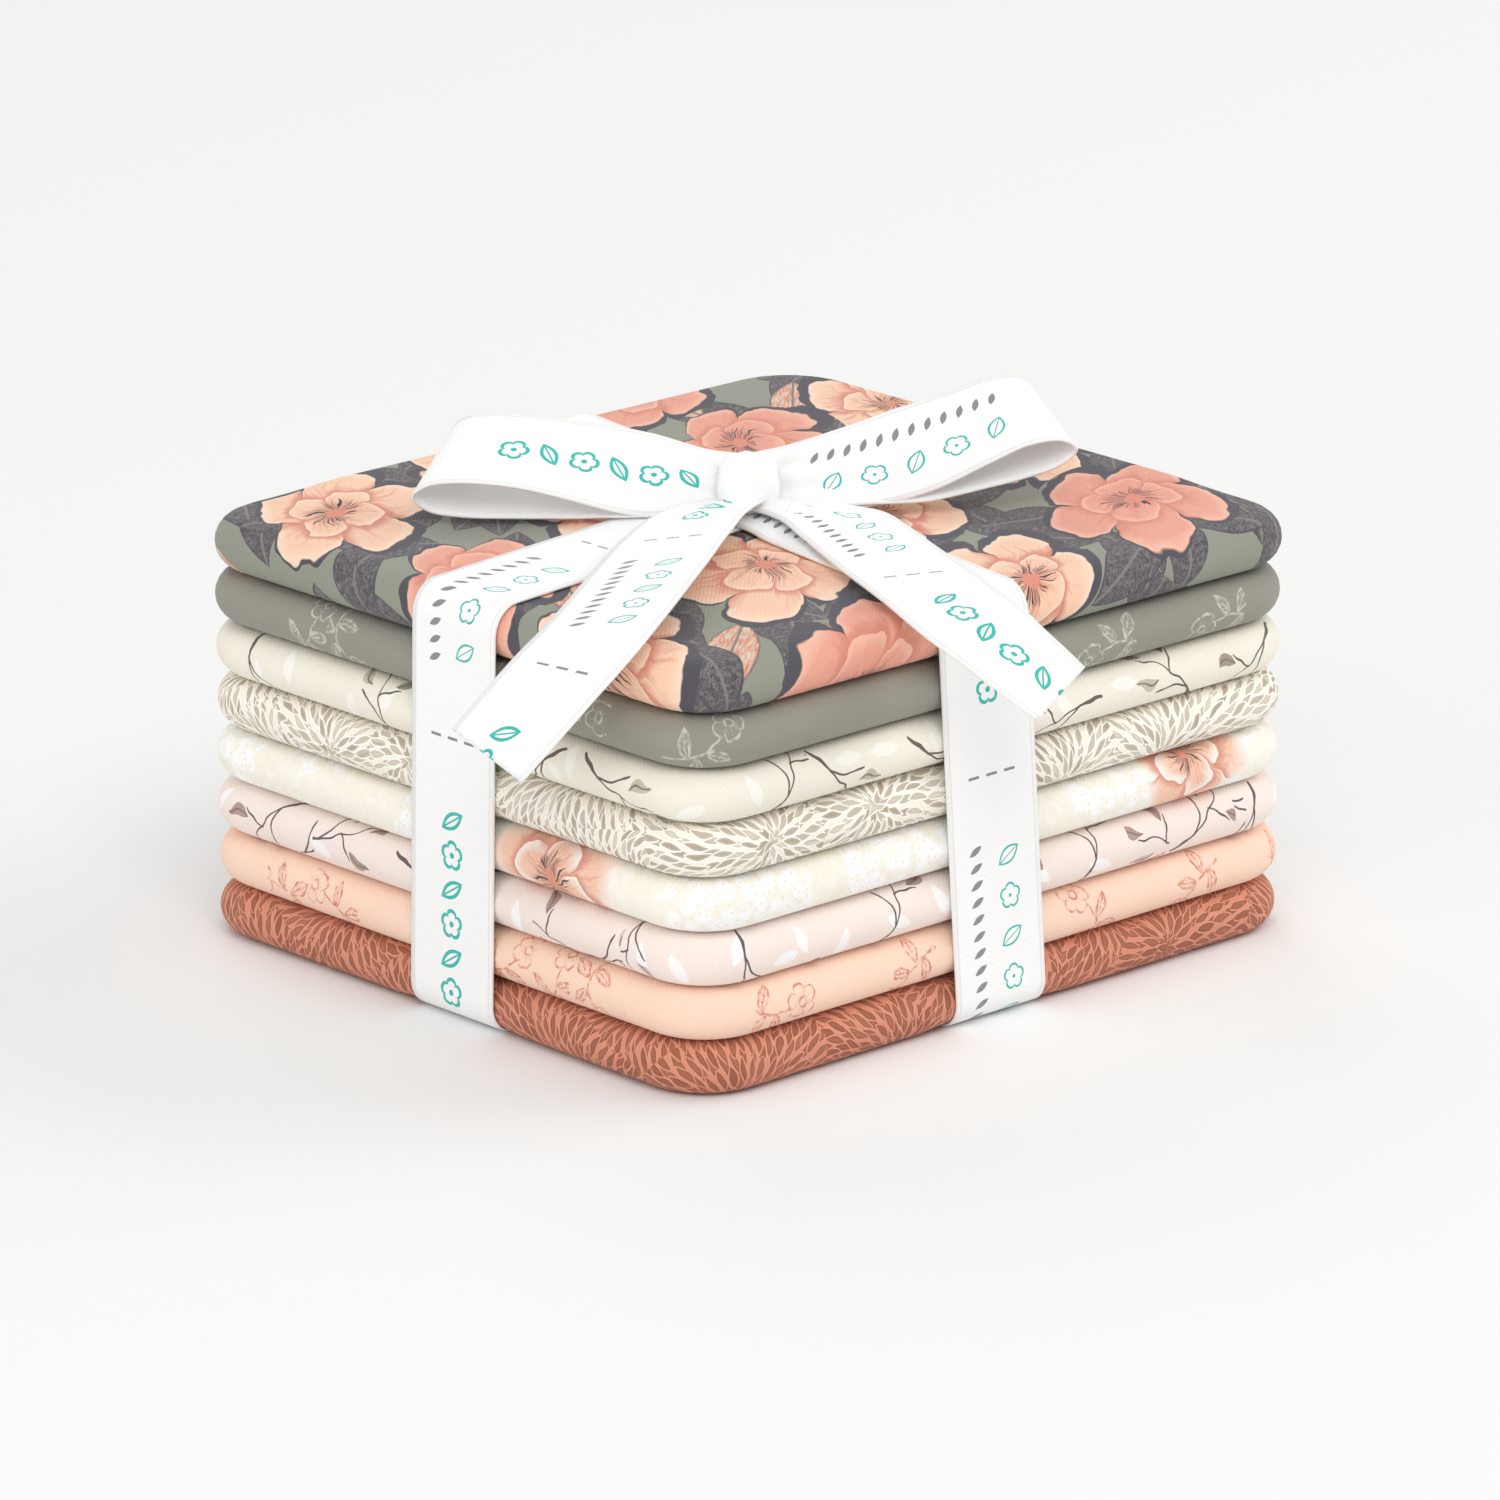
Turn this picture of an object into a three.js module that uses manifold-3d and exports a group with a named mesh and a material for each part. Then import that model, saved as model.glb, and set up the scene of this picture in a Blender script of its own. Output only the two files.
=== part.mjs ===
// Fat quarter bundle: eight folded fat quarters of quilting cotton, stacked and tied both ways
// with one flat ribbon, its bow on top. Millimetres, +Z up, X along the right-hand near side and
// Y along the left-hand near side. The origin is the middle of the underside of the stack.
import * as THREE from 'three';
import { mergeVertices } from 'three/addons/utils/BufferGeometryUtils.js';
import { RoundedBoxGeometry } from 'three/addons/geometries/RoundedBoxGeometry.js';
import Module from 'manifold-3d';

const wasm = await Module();
wasm.setup();

// One fat quarter is 18 by 22 inches. Three across and four along give its folded size.
const fatQuarter = { short: 457.2, long: 558.8 };
const stackX = fatQuarter.short / 3;
const stackY = fatQuarter.long / 4;

// A folded fat quarter is a section of four leaves: an outer fold round an inner one on the near
// sides, and on the far sides a fold that joins the top two leaves over two free edges.
const leaf = 2.05;
const leafGap = 0.5;
const foldedHeight = 4 * leaf + 3 * leafGap;
const gap = 0.3;
const pitch = foldedHeight + gap;
const farNose = (2 * leaf + leafGap) / 2;
const cornerRadius = 14;
// The near folds reach round each side corner by this turn in degrees, and the far folds and free
// edges lie in a strip this wide, which runs into the near folds by a small overlap.
const sideCornerTurn = 50;
const farStrip = 3.6;
const overlap = 0.05;
// The share of a layer's height that its round nose takes, above and below.
const noseShare = 0.47;

// Mesh steps: the degrees in one step of an arc, the steps in a fold's nose from its outer surface
// to its innermost, and the steps along the ribbon between two rows of its route.
const arcStep = 22.5;
const noseSteps = { outer: 3, middle: 2, inner: 1 };
const rowSteps = 2;
const weld = 1e-4;

// The eight cottons from the top down, and how far the two free edges stand back on the far sides.
const cottons = [
  { name: 'fat_quarter_1_floral', colour: 0xa08f86, lowEdge: 0.9, innerEdge: 1.6 },
  { name: 'fat_quarter_2_sage', colour: 0x97958a, lowEdge: 1.7, innerEdge: 0.8 },
  { name: 'fat_quarter_3_sand', colour: 0xe6e1cf, lowEdge: 0.7, innerEdge: 1.9 },
  { name: 'fat_quarter_4_oat', colour: 0xeee9d6, lowEdge: 1.3, innerEdge: 0.9 },
  { name: 'fat_quarter_5_ivory', colour: 0xfbf8ec, lowEdge: 1.9, innerEdge: 1.2 },
  { name: 'fat_quarter_6_blush', colour: 0xf4e4dc, lowEdge: 0.8, innerEdge: 1.5 },
  { name: 'fat_quarter_7_peach', colour: 0xfcd6be, lowEdge: 1.5, innerEdge: 0.7 },
  { name: 'fat_quarter_8_terracotta', colour: 0xcf8569, lowEdge: 1.1, innerEdge: 1.8 },
];
const cottonRoughness = 0.9;
const stackTop = cottons.length * pitch - gap;

// The ribbon. Each band leans a little as it goes round: its middle is at offset + slope * distance
// along it, given under the stack and on top of it.
const ribbon = { width: 22, thickness: 1, colour: 0xf7f6f3, roughness: 0.6 };
const bandX = { under: { offset: 1.5, slope: 0.08 }, over: { offset: 2.8, slope: 0.12 } };
const bandY = { under: { offset: 1.3, slope: 0.06 }, over: { offset: 1.4, slope: 0.143 } };
const bandTop = stackTop + gap + ribbon.thickness;

// The bow lies across the stack's diagonal, turned from X by bowTurn. Each loop is given along the
// ribbon from the knot, over the upper layer, round the tip and back underneath: its rise, how far
// its width is tilted up from level and the width itself. At the knot the upper layer stands nearly
// on edge. Skew draws the far edge of a loop back from its tip.
const bowTurn = THREE.MathUtils.degToRad(-42.8);
const knot = { x: -2, y: -2.2, width: 11.3, depth: 11, height: 10.6, rounding: 3.4, steps: 2 };
const bowHeight = 86;
const loops = [
  {
    side: -1,
    swing: 3,
    lean: 23,
    skew: 0.3,
    route: [
      { along: 1, rise: 0.4, tilt: 62, width: 9.8 }, { along: 8, rise: 0.4, tilt: 58, width: 11.6 },
      { along: 18, rise: 1.3, tilt: 45, width: 17.2 }, { along: 29, rise: 3.9, tilt: 28, width: 20.6 },
      { along: 40, rise: 6.3, tilt: 23, width: 21 }, { along: 50, rise: 7, tilt: 23, width: 21 },
      { along: 55, rise: 6, tilt: 23, width: 21 }, { along: 57.5, rise: 3.4, tilt: 23, width: 21 },
      { along: 55, rise: 0.4, tilt: 23, width: 21 }, { along: 50, rise: -0.8, tilt: 23, width: 21 },
      { along: 34, rise: -1.2, tilt: 23, width: 20 }, { along: 18, rise: -1.8, tilt: 23, width: 16 },
      { along: 8, rise: -1.7, tilt: 30, width: 12 }, { along: 1, rise: -1.2, tilt: 40, width: 10 },
    ],
  },
  {
    side: 1,
    swing: 16,
    lean: 21,
    skew: 0.16,
    route: [
      { along: 1, rise: 0.4, tilt: 62, width: 10 }, { along: 8, rise: 0.5, tilt: 58, width: 11.8 },
      { along: 20, rise: 1.5, tilt: 44, width: 17 }, { along: 32, rise: 4.8, tilt: 32, width: 20.6 },
      { along: 41, rise: 8.5, tilt: 24, width: 21 }, { along: 48, rise: 11.4, tilt: 21, width: 21 },
      { along: 54, rise: 11.8, tilt: 21, width: 21 }, { along: 57, rise: 9.4, tilt: 21, width: 21 },
      { along: 54.5, rise: 6.4, tilt: 21, width: 21 }, { along: 48, rise: 4, tilt: 21, width: 21 },
      { along: 41, rise: 2.4, tilt: 21, width: 21 }, { along: 32, rise: 0.7, tilt: 21, width: 21 },
      { along: 20, rise: -1, tilt: 21, width: 16 }, { along: 8, rise: -1.3, tilt: 28, width: 12 },
      { along: 1, rise: -1, tilt: 40, width: 10 },
    ],
  },
];

// Each tail runs from under the knot over the top and past a near edge, where it droops clear of
// the side. A row holds the middle of the ribbon, the direction across it and its width there.
const tails = [
  [
    { at: [-2, -2.2, 83.4], across: [0.72, -0.68, 0.12], width: 11 },
    { at: [-15.5, -5, 83.6], across: [0.68, -0.72, 0.12], width: 17.5 },
    { at: [-31, -14.5, 84.2], across: [0.58, -0.8, 0.16], width: 20.5 },
    { at: [-48, -26, 84], across: [0.54, -0.82, 0.16], width: 21.5 },
    { at: [-64.5, -37, 83.4], across: [0.49, -0.86, 0.15], width: 21.6 },
    { at: [-79.1, -45, 81.4], across: [0.36, -0.93, 0.1], width: 21.7 },
    { at: [-91, -47.2, 75.8], across: [0.14, -0.98, -0.08], width: 20.4 },
    { at: [-102, -43.8, 64.8], across: [-0.06, -0.97, -0.24], width: 20 },
  ],
  [
    { at: [-2, -2.2, 82.6], across: [-0.8, 0.6, 0], width: 11 },
    { at: [0.8, -9.5, 82.4], across: [-0.82, 0.57, 0], width: 15 },
    { at: [3.1, -18, 82.2], across: [-0.84, 0.54, 0], width: 19.4 },
    { at: [-0.9, -29.5, 82.1], across: [-0.88, 0.47, 0], width: 20.5 },
    { at: [-6, -41, 82.1], across: [-0.9, 0.43, 0], width: 21 },
    { at: [-11.8, -55, 82.1], across: [-0.92, 0.39, 0], width: 21.5 },
    { at: [-18, -70, 82], across: [-0.93, 0.36, 0], width: 21.5 },
    { at: [-20.3, -79.5, 80.4], across: [-0.95, 0.24, -0.06], width: 20.8 },
    { at: [-19.2, -87.5, 76.6], across: [-0.96, -0.04, -0.12], width: 20 },
    { at: [-13.7, -95.4, 69.2], across: [-0.91, -0.36, -0.19], width: 20.6 },
  ],
];

function solidOf(geometry) {
  const shell = geometry.clone();
  for (const name of Object.keys(shell.attributes)) {
    if (name !== 'position') shell.deleteAttribute(name);
  }
  const merged = mergeVertices(shell, weld);
  return new wasm.Manifold(new wasm.Mesh({
    numProp: 3,
    vertProperties: new Float32Array(merged.attributes.position.array),
    triVerts: new Uint32Array(merged.index.array),
  }));
}

function geometryOf(solid) {
  const mesh = solid.getMesh();
  const geometry = new THREE.BufferGeometry();
  geometry.setAttribute('position', new THREE.BufferAttribute(mesh.vertProperties, 3));
  geometry.setIndex(new THREE.BufferAttribute(mesh.triVerts, 1));
  geometry.computeVertexNormals();
  return geometry;
}

function joined(solids) {
  return solids.reduce((sum, solid) => sum.add(solid));
}

// Moves every vertex of a geometry to where the function sends it.
function bent(geometry, place) {
  const positions = geometry.attributes.position;
  const point = new THREE.Vector3();
  for (let i = 0; i < positions.count; i += 1) {
    point.fromBufferAttribute(positions, i);
    place(point);
    positions.setXYZ(i, point.x, point.y, point.z);
  }
  return geometry;
}

// Points on an arc, from and to in degrees.
function arc(x, y, radius, from, to) {
  const steps = Math.round((to - from) / arcStep);
  return Array.from({ length: steps + 1 }, (_, i) => {
    const angle = THREE.MathUtils.degToRad(THREE.MathUtils.lerp(from, to, i / steps));
    return new THREE.Vector2(x + radius * Math.cos(angle), y + radius * Math.sin(angle));
  });
}

// The stack's plan, a rectangle with rounded corners.
function roundedPlan(sizeX, sizeY, radius) {
  const x = sizeX / 2 - radius;
  const y = sizeY / 2 - radius;
  return new THREE.Shape([
    ...arc(-x, -y, radius, 180, 270),
    ...arc(x, -y, radius, 270, 360),
    ...arc(x, y, radius, 0, 90),
    ...arc(-x, y, radius, 90, 180),
  ]);
}

// The same plan with its two near sides kept and its far sides left open: past each side corner it
// runs on straight, far outside the stack.
function nearPlan() {
  const x = stackX / 2 - cornerRadius;
  const y = stackY / 2 - cornerRadius;
  const beyond = 2 * cornerRadius;
  return new THREE.Shape([
    new THREE.Vector2(x + beyond, y + beyond),
    new THREE.Vector2(-x, y + beyond),
    ...arc(-x, y, cornerRadius, 180 - sideCornerTurn, 180),
    ...arc(-x, -y, cornerRadius, 180, 270),
    ...arc(x, -y, cornerRadius, 270, 270 + sideCornerTurn),
    new THREE.Vector2(x + beyond, -y),
  ]);
}

// A flat layer whose edge is a round nose. It is the given plan drawn in by inset, from low to high.
function nosedLayer(plan, inset, low, high, steps) {
  const nose = noseShare * (high - low);
  const geometry = new THREE.ExtrudeGeometry(plan, {
    depth: high - low - 2 * nose,
    bevelThickness: nose,
    bevelSize: nose,
    bevelOffset: -nose - inset,
    bevelSegments: steps,
  });
  return solidOf(geometry.translate(0, 0, low + nose));
}

// A straight-sided block over all of the far side of the lines x = cutX and y = cutY, for
// clipping, or with far = false all of the near side of them.
function clipBlock(cutX, cutY, far) {
  const reach = 2 * stackX;
  const height = 4 * foldedHeight;
  const near = new THREE.BoxGeometry(reach, reach, height)
    .translate(cutX - reach / 2, cutY - reach / 2, 0);
  if (!far) return solidOf(near);
  return solidOf(new THREE.BoxGeometry(2 * reach, 2 * reach, height)).subtract(solidOf(near));
}

function foldedFatQuarter({ lowEdge, innerEdge }) {
  const near = nearPlan();
  const whole = roundedPlan(stackX, stackY, cornerRadius);
  const step = leaf + leafGap;
  const cutX = stackX / 2 - farStrip;
  const cutY = stackY / 2 - farStrip;

  const outerFold = nosedLayer(near, 0, 0, foldedHeight, noseSteps.outer)
    .subtract(nosedLayer(near, leaf, leaf, foldedHeight - leaf, noseSteps.middle));
  const inner = step + leaf;
  const innerFold = nosedLayer(near, step, step, foldedHeight - step, noseSteps.middle)
    .subtract(nosedLayer(near, inner, inner, foldedHeight - inner, noseSteps.inner));
  const nearFolds = outerFold.add(innerFold).intersect(clipBlock(cutX, cutY, false));

  const farFold = nosedLayer(whole, 0, 2 * step, foldedHeight, noseSteps.middle)
    .subtract(nosedLayer(whole, leaf, 3 * step - leafGap, 3 * step, noseSteps.inner));
  const freeLeaf = (setBack, low) => solidOf(new THREE.ExtrudeGeometry(
    roundedPlan(stackX - 2 * setBack, stackY - 2 * setBack, cornerRadius - setBack),
    { depth: leaf, bevelEnabled: false },
  ).translate(0, 0, low));
  const farEdges = joined([farFold, freeLeaf(innerEdge, step), freeLeaf(lowEdge, 0)])
    .intersect(clipBlock(cutX - overlap, cutY - overlap, true));
  return nearFolds.add(farEdges);
}

// One band of the ribbon round the stack, as a ring across the given side's direction. Clearance
// makes it thicker and wider all round, for the groove that it presses into the lowest fold.
function bandSolid({ length, lean, turned }, clearance) {
  const outer = bandPath(length, gap + ribbon.thickness + clearance);
  outer.holes.push(bandPath(length, gap - clearance));
  const width = ribbon.width + 2 * clearance;
  const ring = new THREE.ExtrudeGeometry(outer, { depth: width, bevelEnabled: false });
  return solidOf(bent(ring, (p) => {
    const height = p.y;
    const share = THREE.MathUtils.clamp(height / stackTop, 0, 1);
    const offset = THREE.MathUtils.lerp(lean.under.offset, lean.over.offset, share);
    const slope = THREE.MathUtils.lerp(lean.under.slope, lean.over.slope, share);
    const along = p.x;
    const middle = offset + slope * along;
    if (turned) p.set(middle + p.z - width / 2, along, height);
    else p.set(along, middle + width / 2 - p.z, height);
  }));
}

// The band's path in its own upright plane, standing off the cloth by reach. Underneath it is
// pressed up into the cloth, so that its outer face is level with the cloth's underside. The far
// side's top fold is the tighter one.
function bandPath(stackLength, reach) {
  const end = stackLength / 2 + reach;
  const low = gap + ribbon.thickness - reach;
  const high = stackTop + reach;
  const wide = foldedHeight / 2 + reach;
  const tight = farNose + reach;
  return new THREE.Shape([
    ...arc(-end + wide, low + wide, wide, 180, 270),
    ...arc(end - wide, low + wide, wide, 270, 360),
    ...arc(end - tight, high - tight, tight, 0, 90),
    ...arc(-end + wide, high - wide, wide, 90, 180),
  ]);
}

// A strip of ribbon that follows rows of its middle point, direction across and width.
function strip(rows) {
  const middle = new THREE.CatmullRomCurve3(rows.map((row) => row.at));
  const steps = rowSteps * (rows.length - 1);
  const flat = new THREE.BoxGeometry(1, 1, ribbon.thickness, steps, 1, 1);
  return solidOf(bent(flat, (p) => {
    const share = THREE.MathUtils.clamp(p.x + 0.5, 0, 1);
    const place = share * (rows.length - 1);
    const index = Math.min(Math.floor(place), rows.length - 2);
    const [from, to] = [rows[index], rows[index + 1]];
    const across = from.across.clone().lerp(to.across, place - index).normalize();
    const width = THREE.MathUtils.lerp(from.width, to.width, place - index);
    const normal = middle.getTangent(share).cross(across).normalize();
    const { y: side, z: lift } = p;
    p.copy(middle.getPoint(share)).addScaledVector(across, side * width)
      .addScaledVector(normal, lift);
  }));
}

// A direction in the upright plane of level and up, turned up from level by an angle in degrees.
function raised(level, degrees) {
  const angle = THREE.MathUtils.degToRad(degrees);
  return level.clone().multiplyScalar(Math.cos(angle))
    .addScaledVector(new THREE.Vector3(0, 0, 1), Math.sin(angle));
}

function bowLoop({ side, swing, lean, skew, route }) {
  const turn = THREE.MathUtils.degToRad(swing);
  const alongStack = new THREE.Vector3(Math.cos(bowTurn), Math.sin(bowTurn), 0);
  const awayFromFront = new THREE.Vector3(-Math.sin(bowTurn), Math.cos(bowTurn), 0);
  const along = alongStack.clone().multiplyScalar(side * Math.cos(turn))
    .addScaledVector(awayFromFront, Math.sin(turn));
  const level = alongStack.clone().multiplyScalar(-side * Math.sin(turn))
    .addScaledVector(awayFromFront, Math.cos(turn));
  const up = raised(level, lean + 90);
  const centre = new THREE.Vector3(knot.x, knot.y, bowHeight);
  const tip = Math.max(...route.map((row) => row.along));
  return strip(route.map((row) => ({
    at: centre.clone().addScaledVector(along, row.along).addScaledVector(up, row.rise),
    across: raised(level, row.tilt).addScaledVector(along, -skew * row.along / tip),
    width: row.width,
  })));
}

function tail(rows) {
  return strip(rows.map(({ at, across, width }) => ({
    at: new THREE.Vector3(...at), across: new THREE.Vector3(...across), width,
  })));
}

// The turn of ribbon round the middle of the bow, standing on the upper band.
function knotSolid() {
  const { width, depth, height, steps, rounding } = knot;
  return solidOf(new RoundedBoxGeometry(width, depth, height, steps, rounding).rotateZ(bowTurn)
    .translate(knot.x, knot.y, bandTop + (height - ribbon.thickness) / 2));
}

function part(name, geometry, colour, roughness) {
  const material = new THREE.MeshStandardMaterial({ color: colour, roughness, metalness: 0 });
  const mesh = new THREE.Mesh(geometry, material);
  mesh.name = name;
  return mesh;
}

const bundle = new THREE.Group();

const bands = [
  { length: stackX, lean: bandX, turned: false },
  { length: stackY, lean: bandY, turned: true },
];
const groove = joined(bands.map((band) => bandSolid(band, gap)));
cottons.forEach((cotton, index) => {
  const low = (cottons.length - 1 - index) * pitch;
  let cloth = foldedFatQuarter(cotton);
  if (low === 0) cloth = cloth.subtract(groove);
  const mesh = part(cotton.name, geometryOf(cloth), cotton.colour, cottonRoughness);
  mesh.position.z = low;
  bundle.add(mesh);
});

const ribbonSolid = joined([
  ...bands.map((band) => bandSolid(band, 0)),
  knotSolid(),
  ...loops.map(bowLoop),
  ...tails.map(tail),
]);
bundle.add(part('ribbon', geometryOf(ribbonSolid), ribbon.colour, ribbon.roughness));

export default bundle;
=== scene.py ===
# A fat quarter bundle: eight folded fat quarters of printed quilting cotton, stacked and tied both
# ways with a printed ribbon, its bow on top. Metres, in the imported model's own frame.
import math

import bpy
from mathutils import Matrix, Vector


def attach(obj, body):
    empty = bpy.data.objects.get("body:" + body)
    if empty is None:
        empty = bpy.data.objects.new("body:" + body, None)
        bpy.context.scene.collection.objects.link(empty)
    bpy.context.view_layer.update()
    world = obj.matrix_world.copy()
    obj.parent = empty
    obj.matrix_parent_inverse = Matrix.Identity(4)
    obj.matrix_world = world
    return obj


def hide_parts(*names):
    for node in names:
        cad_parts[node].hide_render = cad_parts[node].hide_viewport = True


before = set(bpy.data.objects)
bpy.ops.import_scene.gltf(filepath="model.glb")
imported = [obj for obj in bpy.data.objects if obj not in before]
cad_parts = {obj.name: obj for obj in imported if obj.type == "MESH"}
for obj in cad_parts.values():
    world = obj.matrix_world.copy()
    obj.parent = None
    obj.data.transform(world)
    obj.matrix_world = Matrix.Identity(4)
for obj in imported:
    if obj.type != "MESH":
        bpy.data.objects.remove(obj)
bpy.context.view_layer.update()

mm = 0.001
up = Vector((0, 0, 1))


def linear(colour):
    # an sRGB hex colour as the linear RGBA that a shader takes
    channels = [int(colour[i:i + 2], 16) / 255 for i in (1, 3, 5)]
    return [c / 12.92 if c <= 0.04045 else ((c + 0.055) / 1.055) ** 2.4 for c in channels] + [1]


def clamp(value, low=0.0, high=1.0):
    return max(low, min(high, value))


def mix(a, b, share):
    return a + (b - a) * share


def smooth(value, start, end):
    share = clamp((value - start) / (end - start))
    return share * share * (3 - 2 * share)


# Camera and light

photoView = {
    "azimuth": -42.8,
    "elevation": 17.5,
    "distance": 1.683,
    "lens": 219.2,              # mm, as the sensor's width is
    "sensor": 36,
    "aim": 0.355 * mm,          # the aim point's distance from the middle, along the azimuth
    "aimHeight": 33.9 * mm,
}


def makeCamera(v):
    turn, lift = math.radians(v["azimuth"]), math.radians(v["elevation"])
    back = Vector((math.sin(turn) * math.cos(lift), -math.cos(turn) * math.cos(lift),
                   math.sin(lift)))
    aim = Vector((math.cos(turn) * v["aim"], math.sin(turn) * v["aim"], v["aimHeight"]))
    data = bpy.data.cameras.new("camera")
    data.lens = v["lens"]
    data.sensor_width = v["sensor"]
    camera = bpy.data.objects.new("camera", data)
    camera.location = aim + back * v["distance"]
    camera.rotation_mode = "QUATERNION"
    camera.rotation_quaternion = (-back).to_track_quat("-Z", "Y")
    bpy.context.scene.collection.objects.link(camera)
    bpy.context.scene.camera = camera


studio = {
    # matt paper, which takes soft shadows and gives no shine
    "floor": "#F3F3F2",
    "floorFinish": {"Roughness": 0.95, "Specular IOR Level": 0.1},
    "floorSize": 14.0,
    "sky": "#FFFFFF",
    "skyStrength": 0.56,
    "lamps": {
        # where each soft box stands, its side and its power in watts
        "key": {"at": (-1.1, -1.5, 2.1), "size": 1.6, "power": 24},
        "fill": {"at": (1.9, -0.9, 1.3), "size": 1.8, "power": 19},
        "side": {"at": (-2.1, -0.2, 0.9), "size": 1.6, "power": 9},
        "rear": {"at": (0.7, 1.9, 1.9), "size": 1.6, "power": 11},
    },
}


def makeStudio(s):
    bpy.ops.mesh.primitive_plane_add(size=s["floorSize"], location=(0, 0, 0))
    floor = bpy.context.object
    floor.name = "floor"
    paper = bpy.data.materials.new("matt paper floor")
    paper.use_nodes = True
    shader = paper.node_tree.nodes["Principled BSDF"]
    shader.inputs["Base Color"].default_value = linear(s["floor"])
    for socket, value in s["floorFinish"].items():
        shader.inputs[socket].default_value = value
    floor.data.materials.append(paper)
    world = bpy.data.worlds.new("studio")
    world.use_nodes = True
    sky = world.node_tree.nodes["Background"]
    sky.inputs["Color"].default_value = linear(s["sky"])
    sky.inputs["Strength"].default_value = s["skyStrength"]
    bpy.context.scene.world = world
    for name, lamp in s["lamps"].items():
        data = bpy.data.lights.new(name, "AREA")
        data.shape = "SQUARE"
        data.size = lamp["size"]
        data.energy = lamp["power"]
        light = bpy.data.objects.new(name, data)
        light.location = lamp["at"]
        light.rotation_mode = "QUATERNION"
        light.rotation_quaternion = (-Vector(lamp["at"])).to_track_quat("-Z", "Y")
        bpy.context.scene.collection.objects.link(light)


bpy.context.scene.view_settings.view_transform = "Standard"
makeCamera(photoView)
makeStudio(studio)
print("studio ready")


# Folded fat quarters

quarter = {
    "cut": (457.2 * mm, 558.8 * mm),    # 18 by 22 inches
    "across": 3,                        # folded in three along its width
    "along": 4,                         # and in four along its length
    "height": 9.7 * mm,                 # folded
    "gap": 0.3 * mm,                    # between one folded piece and the next
    "ply": 0.46 * mm,                   # thickness of one layer of cotton
    "corner": 14 * mm,                  # rounding of the plan's corners
    "ease": 24 * mm,                    # over which a far fold comes out to its full roundness
    "nose": 0.99,                       # a far fold's roundness, as a share of a half circle
    "rimClear": 0.1 * mm,               # from where a fold leaves its plies to its nose
    "edgeClear": 0.3 * mm,              # how far a cut edge stands behind the folds near it
    "ripple": 0.16 * mm,                # unevenness along the folds
    # its waves: strength, distance along the fold for each radian, and shift between pieces
    "waves": ((0.6, 17.3 * mm, 2.1), (0.4, 7.1 * mm, 5.3)),
    "station": 4.6 * mm,                # mesh spacing along a side
    "cornerSteps": 11,                  # mesh steps in a quarter turn
    "topSteps": 16,                     # mesh rings from the rim of a shown face to its middle
    "groove": 0.85 * mm,                # how far the bands press up into the lowest piece
    "grooveCross": 0.5 * mm,            # and how much further where one band crosses the other
    "grooveSide": (0.6 * mm, 4.5 * mm),     # beyond a band's edge, where a groove's side slopes
}
stackX = quarter["cut"][0] / quarter["across"]
stackY = quarter["cut"][1] / quarter["along"]
plyCount = quarter["across"] * quarter["along"]
plyPitch = (quarter["height"] - quarter["ply"]) / (plyCount - 1)
rimInset = quarter["ply"] / 2 + 5.5 * plyPitch      # where the near folds start to turn down

# from the top down: each piece's name and how far its two free edges stand back at the far sides
cottons = [
    {"name": "floral", "lowEdge": 0.9 * mm, "innerEdge": 1.6 * mm},
    {"name": "sage", "lowEdge": 1.7 * mm, "innerEdge": 0.8 * mm},
    {"name": "sand", "lowEdge": 0.7 * mm, "innerEdge": 1.9 * mm},
    {"name": "oat", "lowEdge": 1.3 * mm, "innerEdge": 0.9 * mm},
    {"name": "ivory", "lowEdge": 1.9 * mm, "innerEdge": 1.2 * mm},
    {"name": "blush", "lowEdge": 0.8 * mm, "innerEdge": 1.5 * mm},
    {"name": "peach", "lowEdge": 1.5 * mm, "innerEdge": 0.7 * mm},
    {"name": "terracotta", "lowEdge": 1.1 * mm, "innerEdge": 1.8 * mm},
]
stackTop = len(cottons) * (quarter["height"] + quarter["gap"]) - quarter["gap"]

# plies that a near fold joins, outermost first, with the mesh steps of the turn
nearFolds = [(1, 12, 12), (2, 11, 8), (3, 10, 7), (4, 9, 6), (5, 8, 5), (6, 7, 4)]
# plies that a far fold joins; plies 9 and 12 end there in a cut edge
farFolds = [(1, 6, 8), (2, 5, 5), (3, 4, 4), (7, 8, 4), (10, 11, 4)]


def planStations(q):
    # the outline of the plan, once round from the near folds' first end: for each station the
    # middle of its rounding, the way out, its distance along from the near corner, and for the
    # far folds how far it is from where they meet the near folds
    x, y = stackX / 2 - q["corner"], stackY / 2 - q["corner"]
    runs = [
        ((-x, y), (-x, y), 90, 180), ((-x, y), (-x, -y), 180, 180),
        ((-x, -y), (-x, -y), 180, 270), ((-x, -y), (x, -y), 270, 270),
        ((x, -y), (x, -y), 270, 360), ((x, -y), (x, y), 360, 360),
        ((x, y), (x, y), 360, 450), ((x, y), (-x, y), 450, 450),
    ]
    stations, run = [], 0.0
    for index, (start, end, fromAngle, toAngle) in enumerate(runs):
        start, end = Vector(start), Vector(end)
        turned = toAngle - fromAngle
        length = (end - start).length + math.radians(turned) * q["corner"]
        steps = q["cornerSteps"] if turned else round(length / q["station"])
        if index == 2:
            nearCorner = run + length / 2
        if index == 5:
            nearEnd, nearLength = len(stations), run
        for step in range(steps):
            share = step / steps
            angle = math.radians(mix(fromAngle, toAngle, share))
            stations.append({"core": start.lerp(end, share), "run": run + share * length,
                             "out": Vector((math.cos(angle), math.sin(angle)))})
        run += length
    for station in stations:
        station["past"] = max(0.0, min(station["run"] - nearLength, run - station["run"]))
        station["run"] -= nearCorner
    stations[0]["past"] = 0.0
    return stations, nearEnd, run


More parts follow.
